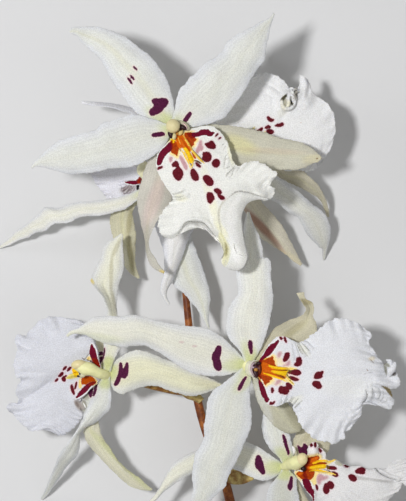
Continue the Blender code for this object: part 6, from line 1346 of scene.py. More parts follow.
COLUMN_BALLS = {
    "d_column": [((143, 168.6, 33.2), (2.5, 3.3, 1.3), -24, (238, 235, 202))],
    "a_column": [
        ((173, 125.8, 70.2), (2.85, 2.85, 2.5), 0, CAP),
        ((183.6, 125.4, 67.4), (2.9, 1.5, 0.7), -36, (186, 182, 156)),
        ((182.6, 127.2, 68.0), (1.9, 1.0, 0.6), -30, DARK),
        ((180.6, 127.2, 67.6), (0.8, 1.5, 1.2), 0, DARK),
        # The stigma's cavity under the cap: its darkness is partly its own colour and partly painted
        # shade.
        ((170.6, 134.2, 66.9), (1.1, 1.8, 0.9), 20, DARK),
        ((174.2, 136.4, 67.0), (0.9, 1.4, 0.8), -10, (214, 204, 156)),
        ((180.6, 132.4, 66.9), (0.9, 1.4, 0.8), -30, (222, 200, 130)),
        ((177.4, 133, 66.9), (0.6, 1.0, 0.8), 0, (180, 120, 40))],
    "c_column": [
        ((250.2, 368.4, 50.4), (2.2, 3.4, 1.6), 0, (222, 222, 196)),
        ((255.4, 367.2, 51.8), (1.5, 1.3, 1.0), 0, (62, 26, 38)),
        ((255.4, 373.2, 51.8), (1.1, 2.0, 1.0), 14, (56, 24, 34)),
        ((258.6, 363.4, 52.2), (1.0, 0.9, 0.8), 0, (46, 16, 26)),
        ((259.6, 369, 51.6), (0.9, 2.4, 0.9), 0, (96, 34, 12)),
        # Painted highlight: a small lilac-grey ball standing for a glint in the cavity.
        ((253, 367.4, 52.8), (0.4, 0.45, 0.3), 0, (206, 184, 200)),
        ((255.8, 369.6, 52.5), (0.85, 0.8, 0.4), 0, (176, 126, 56)),
        ((258.2, 368.2, 52.6), (0.35, 0.4, 0.3), 0, (120, 84, 90))],
    "e_column": [
        ((79, 364.8, 42.0), (3.3, 2.15, 2.0), 4, (224, 211, 162)),
        ((82.8, 371.4, 40.4), (1.8, 2.7, 2.0), -8, (232, 228, 192)),
        ((79, 371.4, 42.2), (0.4, 0.6, 0.35), 20, DARK),
        ((79.9, 373.8, 42.0), (0.35, 0.45, 0.3), 0, DARK),
        ((78.2, 376.2, 41.4), (0.6, 0.45, 0.4), -20, DARK)],
    "f_column": [
        ((295.6, 466, 36.4), (2.4, 1.7, 1.8), 10, GREEN_CREAM),
        ((301.9, 459.4, 38.8), (2.35, 2.75, 2.3), -14, (238, 225, 176)),
        ((303.2, 468.6, 36.2), (1.1, 1.2, 0.8), 0, DARK)],
}

# The knotted middle of the lip that curls on itself: cords as (points with heights, radii in mm).
KNOT = [
    (curve("""286.4,94.8,41.6 283.4,97.6,42.2 281.8,101.6,42.6 282.6,106,42.8 286,108.8,42.8
        290,108.4,42.6 293.8,105.6,42.4 295,101,42.2 293,96.4,42.2 289.6,94.4,42"""),
        [0.3, 0.5, 0.65, 0.8, 0.85, 0.7, 0.5, 0.45, 0.45, 0.35]),
    (curve("289.6,94.6,42.2 288.6,99,42.6 288.6,104,42.8 287,107,42.6"), [0.4, 0.6, 0.75, 0.5]),
    (curve("291,89.4,41.4 292.6,92.6,42 295,96.4,42 296.4,100,41.6"), [0.3, 0.55, 0.5, 0.3]),
    (curve("289.4,89.6,41.2 290.6,88.4,41.6 292.6,88.4,41.8 294,89.6,41.4"),
        [0.2, 0.45, 0.45, 0.2]),
    (curve("293.4,91.2,41.4 294.6,89.4,41.8 296,89,41.8 297,90,41.4"), [0.2, 0.4, 0.45, 0.2]),
    (curve("295.4,93.6,41.2 296.6,91.6,41.6 297.8,91.6,41.4"), [0.2, 0.4, 0.2])]


def ripples(places, counts, draw):
    """Sum of sine waves with the given counts over places from 0 to 1."""
    total = np.zeros_like(places)
    for count in counts:
        wave = np.sin(2 * math.pi * (count * places + draw.uniform()))
        total = total + wave / math.sqrt(len(counts))
    return total


def ragged_tepal(name, surface, seed):
    """A base that reaches the column, uneven side edges, and a soft channel along the middle."""
    draw = np.random.default_rng(seed + 100)
    rows, columns = surface.shape[:2]
    along = np.linspace(0, 1, rows)
    side = np.linspace(-1, 1, columns)[None, :]
    pull = np.array(FEET[name[0]]) - surface[0, :, :2].mean(axis=0)
    gap = np.linalg.norm(pull)
    pull = pull / gap * min(gap, BASE_REACH)
    surface[..., :2] += np.clip(1 - along / BASE_SHARE, 0, 1)[:, None, None] ** 2 * pull
    across = surface[:, -1, :2] - surface[:, 0, :2]
    width = np.linalg.norm(across, axis=1)[:, None]
    across = across / (width + 1e-6)
    for edge, sign in ((np.clip(-side, 0, 1), -1), (np.clip(side, 0, 1), 1)):
        wave = ripples(along, TEPAL_EDGE_WAVES, draw) * TEPAL_RAGGED
        wave = wave * np.clip(width[:, 0] / NARROW, 0, 1)
        surface[..., :2] += sign * (edge**6 * wave[:, None])[..., None] * across[:, None]
        lift = ripples(along, TEPAL_LIFT_WAVES, draw) * EDGE_LIFT
        lift = lift * np.clip(width[:, 0] / NARROW, 0, 1)
        surface[..., 2] += edge**4 * lift[:, None]
    body = np.sin(math.pi * along)[:, None]
    rib = TINTS.get(name, PLAIN_TINT)[1]
    channel = np.exp(-((side / CHANNEL_WIDTH) ** 2))
    surface[..., 2] -= (CHANNEL + RIB_CHANNEL * rib) * body * channel
    swell = ripples(along[:, None] + side * 0.35, TEPAL_SWELLS, draw)
    surface[..., 2] += SWELL * body * swell
    surface[..., 2] = np.maximum(surface[..., 2], LOWEST)
    return surface


def unfolded(plan):
    """A lip's plan with its inner cells spread by Winslow's equations: none lies over the border."""
    for _ in range(UNFOLD_PASSES):
        along = (plan[2:, 1:-1] - plan[:-2, 1:-1]) / 2
        across = (plan[1:-1, 2:] - plan[1:-1, :-2]) / 2
        a = (across**2).sum(-1, keepdims=True) + 1e-6
        c = (along**2).sum(-1, keepdims=True) + 1e-6
        b = (along * across).sum(-1, keepdims=True)
        cross = (plan[2:, 2:] - plan[:-2, 2:] - plan[2:, :-2] + plan[:-2, :-2]) / 4
        plan[1:-1, 1:-1] = (a * (plan[2:, 1:-1] + plan[:-2, 1:-1])
                            + c * (plan[1:-1, 2:] + plan[1:-1, :-2])
                            - 2 * b * cross) / (2 * (a + c))
    return plan


def fine_lip(shape):
    """A lip's plan points with heights."""
    along = np.linspace(0, 1, LIP_CELLS[0] + 1)
    across = np.linspace(0, 1, LIP_CELLS[1] + 1)
    plan = unfolded(lip_plan(shape, along, LIP_CELLS[1] // 2))
    height = lip_height(shape, plan, along, across)
    return np.concatenate([plan, height[..., None]], axis=-1)


def ruffled_lip(name, surface, shape):
    """Ruffles in the margins, creases, and a finely uneven edge."""
    draw = np.random.default_rng(shape["seed"] + 200)
    rows, columns = surface.shape[:2]
    along = np.linspace(0, 1, rows)[:, None]
    side = np.linspace(-1, 1, columns)[None, :]
    depth = shape["wave"]
    front = along**9 * (1 - 0.3 * side**2)
    surface[..., 2] += depth * 1.5 * front * ripples(side, LIP_FRONT_WAVES, draw)
    flanks = np.abs(side) ** 7 * np.clip((along - 0.35) / 0.3, 0, 1)
    surface[..., 2] += depth * flanks * ripples(along * np.sign(side), LIP_FLANK_WAVES, draw)
    for line, rise, width in CREASES.get(name, ()):
        fade = end_fade(line, surface[..., :2])
        gap = distance_to(line, surface[..., :2])
        surface[..., 2] += rise * fade * np.exp(-((gap / width) ** 2))
    middle = surface[0, columns // 2, :2] * 0.35 + surface[-1, columns // 2, :2] * 0.65
    away = surface[..., :2] - middle
    away = away / (np.linalg.norm(away, axis=-1, keepdims=True) + 1e-6)
    edge = np.maximum(along**30, np.abs(side) ** 30)
    jag = ripples(side * 0.5 + along * np.sign(side), LIP_EDGE_WAVES, draw) * LIP_RAGGED
    surface[..., :2] += (edge * jag * np.clip(along * 3, 0, 1))[..., None] * away
    return surface


def end_fade(line, plan):
    """1 along most of a line, falling off towards both of its ends."""
    points = resample(line, np.linspace(0, 1, LINE_SAMPLES))
    gaps = np.linalg.norm(plan[..., None, :] - points, axis=-1)
    place = gaps.argmin(axis=-1) / (LINE_SAMPLES - 1)
    return np.clip(np.minimum(place, 1 - place) / END_SHARE, 0.0, 1.0) ** 0.5


def bed_surface(name, lip):
    """The raised middle of a lip: it leaves the lip's surface at its edge and carries ridges."""
    shape = CALLI[name]
    along = np.linspace(0, 1, BED_CELLS[0] + 1)
    across = np.linspace(-1, 1, BED_CELLS[1] + 1)
    line = resample(shape["line"], along)
    way = np.gradient(line, axis=0)
    way /= np.linalg.norm(way, axis=1)[:, None]
    aside = np.stack([-way[:, 1], way[:, 0]], axis=-1)
    half = profile(shape["half"], along) * BED_REACH
    taper = np.sqrt(np.clip(1 - (2 * along - 1) ** 6, 0.02, 1))
    plan = line[:, None] + aside[:, None] * (half * taper)[:, None, None] * across[None, :, None]
    floor = smooth_floor(lip, plan)
    rim = np.minimum(1 - np.abs(across)[None, :] ** 2, 1.6 * np.sin(math.pi * along)[:, None])
    rim = np.clip(rim, 0, 1)
    height = floor - BED_SINK + BED_RISE * np.sqrt(rim)
    for ridge, width, rise in RIDGES[name]:
        gap = distance_to(ridge, plan)
        height = height + rise * end_fade(ridge, plan) * np.exp(-((gap / width) ** 2)) * rim**0.5
    return np.concatenate([plan, height[..., None]], axis=-1)


def smooth_floor(surface, plan):
    """Height of a surface at plan points, read between its nearest samples."""
    flat = surface.reshape(-1, 3)
    low = plan.reshape(-1, 2).min(axis=0) - FLOOR_NEAR
    high = plan.reshape(-1, 2).max(axis=0) + FLOOR_NEAR
    near = flat[np.all((flat[:, :2] > low) & (flat[:, :2] < high), axis=1)]
    heights = []
    for row in plan:
        gaps = ((row[:, None] - near[None, :, :2]) ** 2).sum(axis=-1)
        share = np.exp(-gaps / FLOOR_BLUR**2) + 1e-12
        heights.append((share * near[:, 2]).sum(axis=1) / share.sum(axis=1))
    return np.array(heights)


def leaf_normals(points):
    """Directions across a surface, on the side that mostly faces up."""
    normal = np.cross(np.gradient(points, axis=0), np.gradient(points, axis=1))
    normal /= np.linalg.norm(normal, axis=-1, keepdims=True) + 1e-12
    return normal if normal[..., 2].sum() > 0 else -normal


def rim_path(rows, columns):
    """Grid places round the border, in order."""
    path = [(0, j) for j in range(columns)]
    path += [(i, columns - 1) for i in range(1, rows)]
    path += [(rows - 1, j) for j in range(columns - 2, -1, -1)]
    path += [(i, 0) for i in range(rows - 2, 0, -1)]
    return np.array(path)


def rounded(outline, rounds=2):
    """A closed outline with its corners cut off a few times."""
    points = np.array(outline, float)
    for _ in range(rounds):
        after = np.roll(points, -1, axis=0)
        points = np.stack([0.75 * points + 0.25 * after, 0.25 * points + 0.75 * after], axis=1)
        points = points.reshape(-1, 2)
    return points


def segment_reach(plan, start, end):
    """Distance of plan points from a straight piece of line."""
    way = end - start
    share = np.clip(((plan - start) @ way) / (way @ way + 1e-12), 0, 1)
    return np.linalg.norm(plan - start - share[:, None] * way, axis=1)


def outline_reach(plan, outline):
    """Distance of plan points from a closed outline, negative inside."""
    corners = rounded(outline)
    reach = np.full(len(plan), FAR_OFF)
    inside = np.zeros(len(plan), bool)
    low = corners.min(axis=0) - REACH_LIMIT
    high = corners.max(axis=0) + REACH_LIMIT
    near = np.all((plan > low) & (plan < high), axis=1)
    spots = plan[near]
    nearest = np.full(len(spots), FAR_OFF)
    crossed = np.zeros(len(spots), bool)
    for start, end in zip(corners, np.roll(corners, -1, axis=0)):
        nearest = np.minimum(nearest, segment_reach(spots, start, end))
        spans = (start[1] > spots[:, 1]) != (end[1] > spots[:, 1])
        rise = end[1] - start[1] + 1e-12
        place = start[0] + (end[0] - start[0]) * (spots[:, 1] - start[1]) / rise
        crossed ^= spans & (spots[:, 0] < place)
    reach[near] = nearest
    inside[near] = crossed
    return np.where(inside, -reach, reach) - MARK_GROWTH


def line_reach(plan, line, half):
    """Distance of plan points from a drawn line that thins towards its ends."""
    points = resample(line, np.linspace(0, 1, LINE_PIECES + 1))
    reach = np.full(len(plan), FAR_OFF)
    for k, (start, end) in enumerate(zip(points[:-1], points[1:])):
        thin = half * (0.55 + 0.45 * math.sin(math.pi * (k + 0.5) / LINE_PIECES))
        reach = np.minimum(reach, segment_reach(plan, start, end) - thin)
    return reach


def mark_reaches(name, plan):
    """For each paint of a blade, the distance of every plan point from its marks."""
    reaches = []
    for _, _, spots, strokes in MARKS.get(name, ()):
        reach = np.full(len(plan), FAR_OFF)
        for outline in spots:
            reach = np.minimum(reach, outline_reach(plan, outline))
        for line, half in strokes:
            reach = np.minimum(reach, line_reach(plan, line, half))
        reaches.append(reach)
    return reaches


def sheet_parts(surface, thickness=TISSUE):
    """A closed blade that thins towards its rounded rim: points, faces, plan places and skin."""
    rows, columns = surface.shape[:2]
    points = to_world(surface)
    normal = leaf_normals(points)
    along = np.linspace(0, 1, rows)[:, None] * np.ones((1, columns))
    side = np.ones((rows, 1)) * np.linspace(-1, 1, columns)[None, :]
    full = (1 - side**4) * (1 - along**8)
    middle, rim = thickness
    half = 0.5 * (rim + (middle - rim) * full)[..., None]
    path = rim_path(rows, columns)
    border = points[path[:, 0], path[:, 1]]
    inner = np.clip(path, 1, (rows - 2, columns - 2))
    inward = points[inner[:, 0], inner[:, 1]] - border
    inward /= np.linalg.norm(inward, axis=1, keepdims=True) + 1e-12
    core = points.copy()
    core[path[:, 0], path[:, 1]] += inward * RIM_ROUND
    verts = np.concatenate([(core + normal * half).reshape(-1, 3),
                            (core - normal * half).reshape(-1, 3), border])
    number = np.arange(rows * columns).reshape(rows, columns)
    quads = np.stack([number[:-1, :-1], number[:-1, 1:], number[1:, 1:], number[1:, :-1]], -1)
    quads = quads.reshape(-1, 4)
    loop = number[path[:, 0], path[:, 1]]
    edge = 2 * rows * columns + np.arange(len(path))
    rim_up = np.stack([loop, np.roll(loop, -1), np.roll(edge, -1), edge], -1)
    under = loop + rows * columns
    rim_down = np.stack([edge, np.roll(edge, -1), np.roll(under, -1), under], -1)
    faces = np.concatenate([quads, quads[:, ::-1] + rows * columns, rim_up, rim_down])
    flat = surface[..., :2].reshape(-1, 2)
    flat = np.concatenate([flat, flat, surface[path[:, 0], path[:, 1], :2]])
    skin = np.stack([along, side, np.ones_like(side)], -1)
    back = skin * (1, 1, 0)
    skin = np.concatenate([skin.reshape(-1, 3), back.reshape(-1, 3),
                           skin[path[:, 0], path[:, 1]] * (1, 1, 0.5)])
    return verts, faces.tolist(), flat, skin


def cord_parts(line, radius):
    """A closed round cord, with plan places and skin as on the blades."""
    rings = tube_grid(dict(line=line, radius=radius), CORD_CELLS)
    points, faces = tube_parts(rings)
    plan = resample(line, np.linspace(0, 1, len(rings)))[:, :2]
    flat = np.repeat(plan, rings.shape[1], axis=0)
    skin = np.tile((0.5, 0.5, 1.0), (len(points), 1))
    return points, faces, flat, skin


def blade_mesh(name, blade, parts):
    """One mesh of closed parts that carries plan places, skin and the reach of each mark."""
    verts = np.concatenate([part[0] for part in parts])
    flat = np.concatenate([part[2] for part in parts])
    skin = np.concatenate([part[3] for part in parts])
    faces = []
    first = 0
    for part in parts:
        faces += [[first + corner for corner in face] for face in part[1]]
        first += len(part[0])
    mesh = bpy.data.meshes.new(name)
    mesh.from_pydata(verts.tolist(), [], faces)
    put_vectors(mesh, "plan", np.concatenate([flat, np.zeros((len(flat), 1))], axis=1))
    put_vectors(mesh, "skin", skin)
    for number, reach in enumerate(mark_reaches(blade, flat)):
        layer = mesh.attributes.new(f"mark{number}", "FLOAT", "POINT")
        layer.data.foreach_set("value", np.clip(reach, -REACH_LIMIT, REACH_LIMIT).astype(np.float32))
    turn_outward(mesh)
    return mesh


def turn_outward(mesh):
    """Faces outward and smooth."""
    tidy = bmesh.new()
    tidy.from_mesh(mesh)
    bmesh.ops.recalc_face_normals(tidy, faces=tidy.faces)
    tidy.to_mesh(mesh)
    tidy.free()
    mesh.shade_smooth()


def put_vectors(mesh, name, values):
    """Three numbers for each vertex."""
    layer = mesh.attributes.new(name, "FLOAT_VECTOR", "POINT")
    layer.data.foreach_set("vector", np.asarray(values, np.float32).ravel())


def put_piece(name, mesh, material, node):
    """An object that rides on the root and stands for a solid."""
    mesh.materials.append(material)
    piece = bpy.data.objects.new(name, mesh)
    bpy.context.scene.collection.objects.link(piece)
    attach(piece, "root")
    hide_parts(node)


class Looks:
    """A material, and the nodes that colour it."""

    def __init__(self, name):
        self.material = bpy.data.materials.new(name)
        self.material.use_nodes = True
        self.tree = self.material.node_tree
        self.shader = self.tree.nodes["Principled BSDF"]

    def add(self, kind, *values, out=0, **settings):
        """A new node with its first inputs fed; gives one of its outputs."""
        node = self.tree.nodes.new("ShaderNode" + kind)
        for key, value in settings.items():
            setattr(node, key, value)
        for socket, value in zip(node.inputs, values):
            self.feed(socket, value)
        return node.outputs[out]

    def feed(self, socket, value):
        """Links or sets an input; None leaves it as it is."""
        if isinstance(value, bpy.types.NodeSocket):
            self.tree.links.new(value, socket)
        elif value is not None:
            socket.default_value = value

    def math(self, operation, *values):
        """One operation on numbers."""
        return self.add("Math", *values, operation=operation)

    def noise(self, where, scale, detail=2.0, rough=0.5):
        """Smooth noise, mostly from 0.3 to 0.7."""
        socket = self.add("TexNoise", where)
        socket.node.inputs["Scale"].default_value = scale
        socket.node.inputs["Detail"].default_value = detail
        socket.node.inputs["Roughness"].default_value = rough
        return socket

    def ramp(self, value, low, high, bottom=0.0, top=1.0):
        """From bottom to top, smoothly, as the value goes from low to high."""
        return self.add("MapRange", value, low, high, bottom, top, interpolation_type="SMOOTHSTEP")

    def mix(self, share, one, other, blend="MIX"):
        """A share of the other colour over the first."""
        return self.add("MixRGB", share, colour(one), colour(other), blend_type=blend)

    def attribute(self, name, out=1):
        """What the mesh keeps at its vertices: output 1 is a vector, output 2 a number."""
        return self.add("Attribute", attribute_name=name, out=out)

    def bump(self, height, strength, distance):
        """Fine relief in the shading alone."""
        bump = self.add("Bump")
        bump.node.inputs["Strength"].default_value = strength
        bump.node.inputs["Distance"].default_value = distance
        self.feed(bump.node.inputs["Height"], height)
        self.feed(self.shader.inputs["Normal"], bump)

    def tissue(self, depth, weight, gloss):
        """How far light goes into the tissue, how much of it, and how strong the gloss is."""
        self.shader.inputs["Subsurface Weight"].default_value = weight
        self.shader.inputs["Subsurface Radius"].default_value = SCATTER
        self.shader.inputs["Subsurface Scale"].default_value = depth
        self.shader.inputs["Specular IOR Level"].default_value = gloss


def colour(value):
    """An sRGB triple from 0 to 255 as a linear colour; sockets pass through."""
    if isinstance(value, bpy.types.NodeSocket):
        return value
    part = np.array(value) / 255.0
    linear = np.where(part <= 0.04045, part / 12.92, ((part + 0.055) / 1.055) ** 2.4)
    return (*linear.tolist(), 1.0)


def stroke_mask(looks, where, strokes):
    """1 in the middle of any of the soft strokes, falling to 0 outside all of them."""
    nearest = None
    for u0, v0, u1, v1, half in strokes:
        middle = ((u0 + u1) / 2, (v0 + v1) / 2, 0)
        turn = (0, 0, math.atan2(v1 - v0, u1 - u0))
        size = (math.hypot(u1 - u0, v1 - v0) / 2 + half, half, 1)
        local = looks.add("Mapping", where, middle, turn, size, vector_type="TEXTURE")
        reach = looks.add("VectorMath", local, operation="LENGTH", out=1)
        nearest = reach if nearest is None else looks.math("SMOOTH_MIN", nearest, reach, 0.15)
    return looks.ramp(nearest, 0.45, 1.3, 1, 0)


def add_marks(looks, name, plan, front, shade):
    """Soft tints, then the rims of all marks, then the marks themselves; painted shade and highlights
    are among the tints and marks.
    """
    for paint, strength, strokes in WASHES.get(name, ()):
        mask = looks.math("MULTIPLY", stroke_mask(looks, plan, strokes), front)
        shade = looks.mix(looks.math("MULTIPLY", mask, strength), shade, paint)
    wobble = looks.noise(plan, WOBBLE_SCALE)
    wobble = looks.add("MapRange", wobble, 0.3, 0.7, -WOBBLE, WOBBLE)
    dapple = looks.noise(plan, DAPPLE_SCALE)
    groups = MARKS.get(name, ())
    reaches = [looks.math("ADD", looks.attribute(f"mark{k}", 2), wobble) for k in range(len(groups))]
    for reach, (paint, _, _, _) in zip(reaches, groups):
        if paint in HALOS:
            halo, width, strength = HALOS[paint]
            mask = looks.math("MULTIPLY", looks.ramp(reach, 0.0, width, strength, 0), front)
            shade = looks.mix(mask, shade, halo)
    for reach, (paint, soft, _, _) in zip(reaches, groups):
        mask = looks.math("MULTIPLY", looks.ramp(reach, -soft, soft, 1, 0), front)
        fade = 0.84 if max(paint) < DARK_PAINT else 0.96
        deep = tuple(fade * c for c in paint)
        tone = looks.mix(looks.ramp(dapple, 0.3, 0.7), paint, deep)
        shade = looks.mix(mask, shade, tone)
    return shade


def blade_looks(name, body, rib, blade, gloss=0.1):
    """Waxy white tissue with painted glints in the colour of its cells, a tinted middle line and
    marks.
    """
    looks = Looks(name)
    plan = looks.attribute("plan")
    skin = looks.add("SeparateXYZ", looks.attribute("skin"))
    along, side, front = skin.node.outputs
    clouds = looks.noise(plan, CLOUD_SCALE, 3.0)
    darker = tuple(0.95 * c for c in body)
    shade = looks.mix(looks.ramp(clouds, 0.35, 0.75, 0, 0.5), body, darker)
    if rib > 0:
        line = looks.ramp(looks.math("ABSOLUTE", side), 0.0, 0.32, 0.75 * rib, 0)
        shade = looks.mix(line, shade, RIB)
    if blade in TEPALS:
        shade = looks.mix(looks.ramp(along, 0.0, 0.12, 0.7, 0), shade, YELLOW_GREEN)
        if min(body) > PALE_BODY:
            margin = looks.ramp(looks.math("ABSOLUTE", side), 0.35, 0.95, 0, 0.6)
            shade = looks.mix(margin, shade, COOL_WHITE)
    under = looks.math("SUBTRACT", 1.0, front)
    shade = looks.mix(looks.math("MULTIPLY", under, 0.4), shade, CREAM)
    shade = add_marks(looks, blade, plan, looks.ramp(front, 0.2, 0.9, 0.15, 1), shade)
    cells = looks.add("TexVoronoi", plan)
    cells.node.inputs["Scale"].default_value = CELL_SCALE
    # Painted glints: the cells' tone and the glint noise brighten and darken the base colour in tiny
    # specks; the veins added to them are the tissue's own.
    glint_noise = looks.noise(plan, GLINT_SCALE)
    grain_and_glints = looks.math("ADD", looks.ramp(cells, 0.1, 0.75, 0.05, -0.06),
                       looks.ramp(glint_noise, 0.35, 0.65, 0.93, 1.04))
    if blade in TEPALS:
        veins = looks.add("Mapping", looks.attribute("skin"), None, None, (2.5, 11, 0))
        veins = looks.ramp(looks.noise(veins, 1.0, 3.0), 0.3, 0.7, -0.045, 0.045)
        grain_and_glints = looks.math("ADD", grain_and_glints, veins)
    shade = looks.mix(1.0, shade, looks.add("CombineColor", grain_and_glints, grain_and_glints, grain_and_glints), "MULTIPLY")
    looks.feed(looks.shader.inputs["Base Color"], shade)
    looks.feed(looks.shader.inputs["Roughness"], looks.ramp(cells, 0.0, 0.8, 0.5, 0.75))
    wobble = looks.noise(plan, RELIEF_SCALE, 3.0)
    relief = looks.math("MULTIPLY_ADD", cells, -0.45, wobble)
    looks.bump(relief, 0.4, 0.0003)
    looks.tissue(0.0005, 0.06, gloss)
    return looks.material


def plant_looks(name, light, dark, scale, rough):
    """Green, brown or cream plant skin with streaks and specks."""
    looks = Looks(name)
    where = looks.add("TexCoord", out=3)
    streaks = looks.noise(where, scale, 4.0, 0.6)
    shade = looks.mix(looks.ramp(streaks, 0.35, 0.68), dark, light)
    specks = looks.noise(where, scale * 7, 1.0)
    darker = tuple(0.6 * c for c in dark)
    shade = looks.mix(looks.ramp(specks, 0.62, 0.72, 0, 0.35), shade, darker)
    gloss = looks.ramp(specks, 0.2, 0.8, rough - 0.08, rough + 0.1)
    looks.feed(looks.shader.inputs["Base Color"], shade)
    looks.feed(looks.shader.inputs["Roughness"], gloss)
    looks.bump(streaks, 0.3, 0.0002)
    looks.tissue(0.001, 0.05, 0.3)
    return looks.material


def tube_grid(shape, cells, flat=False, widen=1.0):
    """Rings of points round a line; a flat tube keeps above the surface."""
    steps, sides = cells
    along = np.linspace(0, 1, steps + 1)
    line = to_world(resample(shape["line"], along))
    at = chord(to_world(shape["line"]))
    radius = hermite(np.array(shape["radius"])[:, None], at, along)[:, 0] / 1000.0
    radius = radius * np.clip(np.minimum(along, 1 - along) / 0.03 + 0.35, 0, 1) ** 0.5
    way = np.gradient(line, axis=0)
    way /= np.linalg.norm(way, axis=1)[:, None]
    aside, lift = frames_along(way)
    turn = 2 * math.pi * np.arange(sides) / sides
    rings = (
        line[:, None]
        + widen * radius[:, None, None] * np.cos(turn)[None, :, None] * aside[:, None]
        + radius[:, None, None] * np.sin(turn)[None, :, None] * lift[:, None]
    )
    if flat:
        rings[..., 2] = np.maximum(rings[..., 2], 0.0)
    return rings


def ball_grid(middle, sizes, turn):
    """Rings of an egg shape: sizes in millimetres along its own axes, turned in degrees."""
    polar = np.linspace(0.12, math.pi - 0.12, BALL_CELLS[0] + 1)
    turns = 2 * math.pi * np.arange(BALL_CELLS[1]) / BALL_CELLS[1]
    x = np.cos(polar)[:, None] * np.ones_like(turns)
    y = np.sin(polar)[:, None] * np.cos(turns)
    z = np.sin(polar)[:, None] * np.sin(turns)
    local = np.stack([x, y, z], axis=-1) * np.array(sizes) / 1000.0
    cos = math.cos(math.radians(turn))
    sin = math.sin(math.radians(turn))
    spin = np.array(((cos, -sin, 0), (sin, cos, 0), (0, 0, 1)))
    return local @ spin.T + to_world(middle)


def tube_parts(rings):
    """Points and faces of a closed tube."""
    steps, sides = rings.shape[:2]
    number = np.arange(steps * sides).reshape(steps, sides)
    turned = np.roll(number, -1, axis=1)
    quads = np.stack([number[:-1], turned[:-1], turned[1:], number[1:]], -1).reshape(-1, 4)
    ends = [number[0, ::-1].tolist(), number[-1].tolist()]
    return rings.reshape(-1, 3), quads.tolist() + ends


def join_parts(name, parts):
    """One mesh of several closed parts; each part has its own number as an attribute."""
    mesh = bpy.data.meshes.new(name)
    verts, faces, marks = [], [], []
    for number, (points, polygons) in enumerate(parts):
        faces += [[k + len(verts) for k in face] for face in polygons]
        verts += points.tolist()
        marks += [number] * len(points)
    mesh.from_pydata(verts, [], faces)
    layer = mesh.attributes.new("part", "FLOAT", "POINT")
    layer.data.foreach_set("value", np.array(marks, np.float32))
    turn_outward(mesh)
    return mesh


def column_looks(name, paints):
    """Waxy skin; each part of the column has its own paint."""
    looks = Looks(name)
    part = looks.attribute("part", 2)
    shade = looks.mix(0.0, paints[0], paints[0])
    for number, paint in enumerate(paints[1:], 1):
        here = looks.math("GREATER_THAN", part, number - 0.5)
        shade = looks.mix(here, shade, paint)
    where = looks.add("TexCoord", out=3)
    clouds = looks.noise(where, 420.0, 3.0)
    tone = looks.ramp(clouds, 0.3, 0.7, 0.9, 1.03)
    shade = looks.mix(1.0, shade, looks.add("CombineColor", tone, tone, tone), "MULTIPLY")
    specks = looks.noise(where, 1900.0, 1.0)
    looks.feed(looks.shader.inputs["Base Color"], shade)
    looks.feed(looks.shader.inputs["Roughness"], looks.ramp(specks, 0.3, 0.7, 0.34, 0.5))
    looks.bump(specks, 0.25, 0.00012)
    looks.tissue(0.0006, 0.06, 0.3)
    return looks.material


def column_parts(name):
    """Closed parts of a column, and their paints."""
    parts, paints = [], []
    for line, radius, widen, paint in COLUMN_TUBES[name]:
        rings = tube_grid(dict(line=line, radius=radius), COLUMN_CELLS, widen=widen)
        parts.append(tube_parts(rings))
        paints.append(paint)
    for middle, sizes, turn, paint in COLUMN_BALLS.get(name, ()):
        parts.append(tube_parts(ball_grid(middle, sizes, turn)))
        paints.append(paint)
    return parts, paints


def fold_parts(name, seed):
    """The folds that lie over a tepal or a lip."""
    return [sheet_parts(tepal_surface(fold, FOLD_CELLS, seed + number))
            for number, fold in enumerate(FOLDS.get(name, ()))]


def build_tepals():
    """Sepals and petals."""
    for seed, (name, shape) in enumerate(TEPALS.items()):
        surface = ragged_tepal(name, tepal_surface(shape, TEPAL_CELLS, seed + 20), seed)
        body, rib = TINTS.get(name, PLAIN_TINT)
        material = blade_looks(name + "_looks", body, rib, name)
        parts = [sheet_parts(surface)] + fold_parts(name, 80)
        mesh = blade_mesh(name + "_bloom", name, parts)
        put_piece(name + "_bloom", mesh, material, name)


def build_lips():
    """Lips, each with the bed of its callus."""
    for name, shape in LIPS.items():
        surface = ruffled_lip(name, fine_lip(shape), shape)
        parts = [sheet_parts(surface)] + fold_parts(name, 60)
        if name == "b_lip":
            parts += [cord_parts(line, radius) for line, radius in KNOT]
        material = blade_looks(name + "_looks", TINTS[name][0], 0.0, name)
        mesh = blade_mesh(name + "_bloom", name, parts)
        put_piece(name + "_bloom", mesh, material, name)
        callus = name[0] + "_callus"
        material = blade_looks(callus + "_looks", TINTS[name][0], 0.0, name, 0.2)
        mesh = blade_mesh(callus + "_bed", name, [sheet_parts(bed_surface(callus, surface))])
        put_piece(callus + "_bed", mesh, material, callus)


def build_stems():
    """Columns, stalks, the stem and the bracts."""
    for name in COLUMN_TUBES:
        parts, paints = column_parts(name)
        mesh = join_parts(name + "_form", parts)
        put_piece(name + "_form", mesh, column_looks(name + "_looks", paints), name)
    stalk = plant_looks("stalk_looks", STALK_LIGHT, STALK_DARK, 420.0, 0.46)
    for name, shape in STALKS.items():
        mesh = join_parts(name + "_form", [tube_parts(tube_grid(shape, STALK_CELLS))])
        put_piece(name + "_form", mesh, stalk, name)
    stem = plant_looks("stem_looks", STEM_LIGHT, STEM_DARK, 300.0, 0.44)
    mesh = join_parts("stem_form", [tube_parts(tube_grid(STEM, STEM_CELLS, flat=True))])
    put_piece("stem_form", mesh, stem, "stem")
    bract = plant_looks("bract_looks", BRACT_LIGHT, BRACT_DARK, 380.0, 0.6)
    for name, shape in BRACTS.items():
        verts, faces, _, _ = sheet_parts(bract_surface(shape), BRACT_TISSUE)
        mesh = join_parts(name + "_form", [(verts, faces)])
        put_piece(name + "_form", mesh, bract, name)


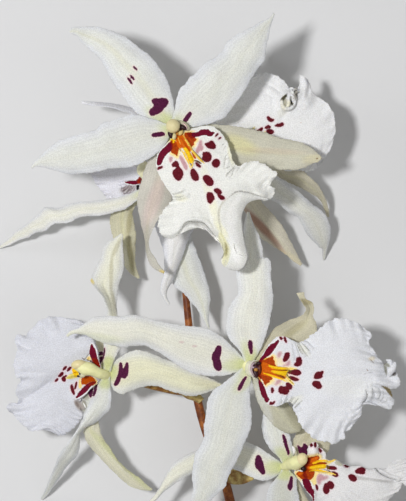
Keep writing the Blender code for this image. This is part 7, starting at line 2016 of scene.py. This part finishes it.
def build_floor():
    """The pale surface that the spray lies on."""
    mesh = bpy.data.meshes.new("floor")
    turns = ((-1, -1), (1, -1), (1, 1), (-1, 1))
    corners = [(x * FLOOR_HALF, y * FLOOR_HALF, 0) for x, y in turns]
    mesh.from_pydata(corners, [], [(0, 1, 2, 3)])
    looks = Looks("floor_looks")
    where = looks.add("TexCoord", out=3)
    cloud = looks.noise(where, 3.0, 2.0)
    shade = looks.mix(cloud, FLOOR_COLOUR, tuple(0.97 * c for c in FLOOR_COLOUR))
    looks.feed(looks.shader.inputs["Base Color"], shade)
    looks.shader.inputs["Roughness"].default_value = 0.9
    mesh.materials.append(looks.material)
    floor = bpy.data.objects.new("floor", mesh)
    bpy.context.scene.collection.objects.link(floor)


def build_camera():
    """Straight above the plan's middle, at the height for which the plan was drawn."""
    camera = bpy.data.objects.new("camera", bpy.data.cameras.new("camera"))
    camera.location = (-ORIGIN_AT[0], -ORIGIN_AT[1], VIEW_HEIGHT)
    tall = PLAN_SIZE[1] * UNIT
    camera.data.sensor_width = SENSOR
    camera.data.lens = SENSOR * (VIEW_HEIGHT - GRID_HEIGHT) / tall
    camera.data.clip_start = 0.05
    camera.data.clip_end = 20.0
    bpy.context.scene.collection.objects.link(camera)
    bpy.context.scene.camera = camera


def add_light(name, place, size, power, tint):
    """A round area light that shines on the middle of the spray."""
    light = bpy.data.lights.new(name, "AREA")
    light.shape = "DISK"
    light.size = size
    light.energy = power
    light.color = tint
    lamp = bpy.data.objects.new(name, light)
    lamp.location = place
    lamp.rotation_euler = (Vector(LIGHTS_AIM) - Vector(place)).to_track_quat("-Z", "Y").to_euler()
    bpy.context.scene.collection.objects.link(lamp)


def build_lights():
    """Three lights and a dim warm world."""
    for name, (place, size, power, tint) in LIGHTS.items():
        add_light(name, place, size, power, tint)
    world = bpy.data.worlds.new("world")
    world.use_nodes = True
    background = world.node_tree.nodes["Background"]
    background.inputs["Color"].default_value = WORLD_COLOUR
    background.inputs["Strength"].default_value = WORLD_STRENGTH
    bpy.context.scene.world = world
    bpy.context.scene.view_settings.view_transform = "Standard"


build_camera()
build_lights()
build_floor()
build_tepals()
build_lips()
build_stems()
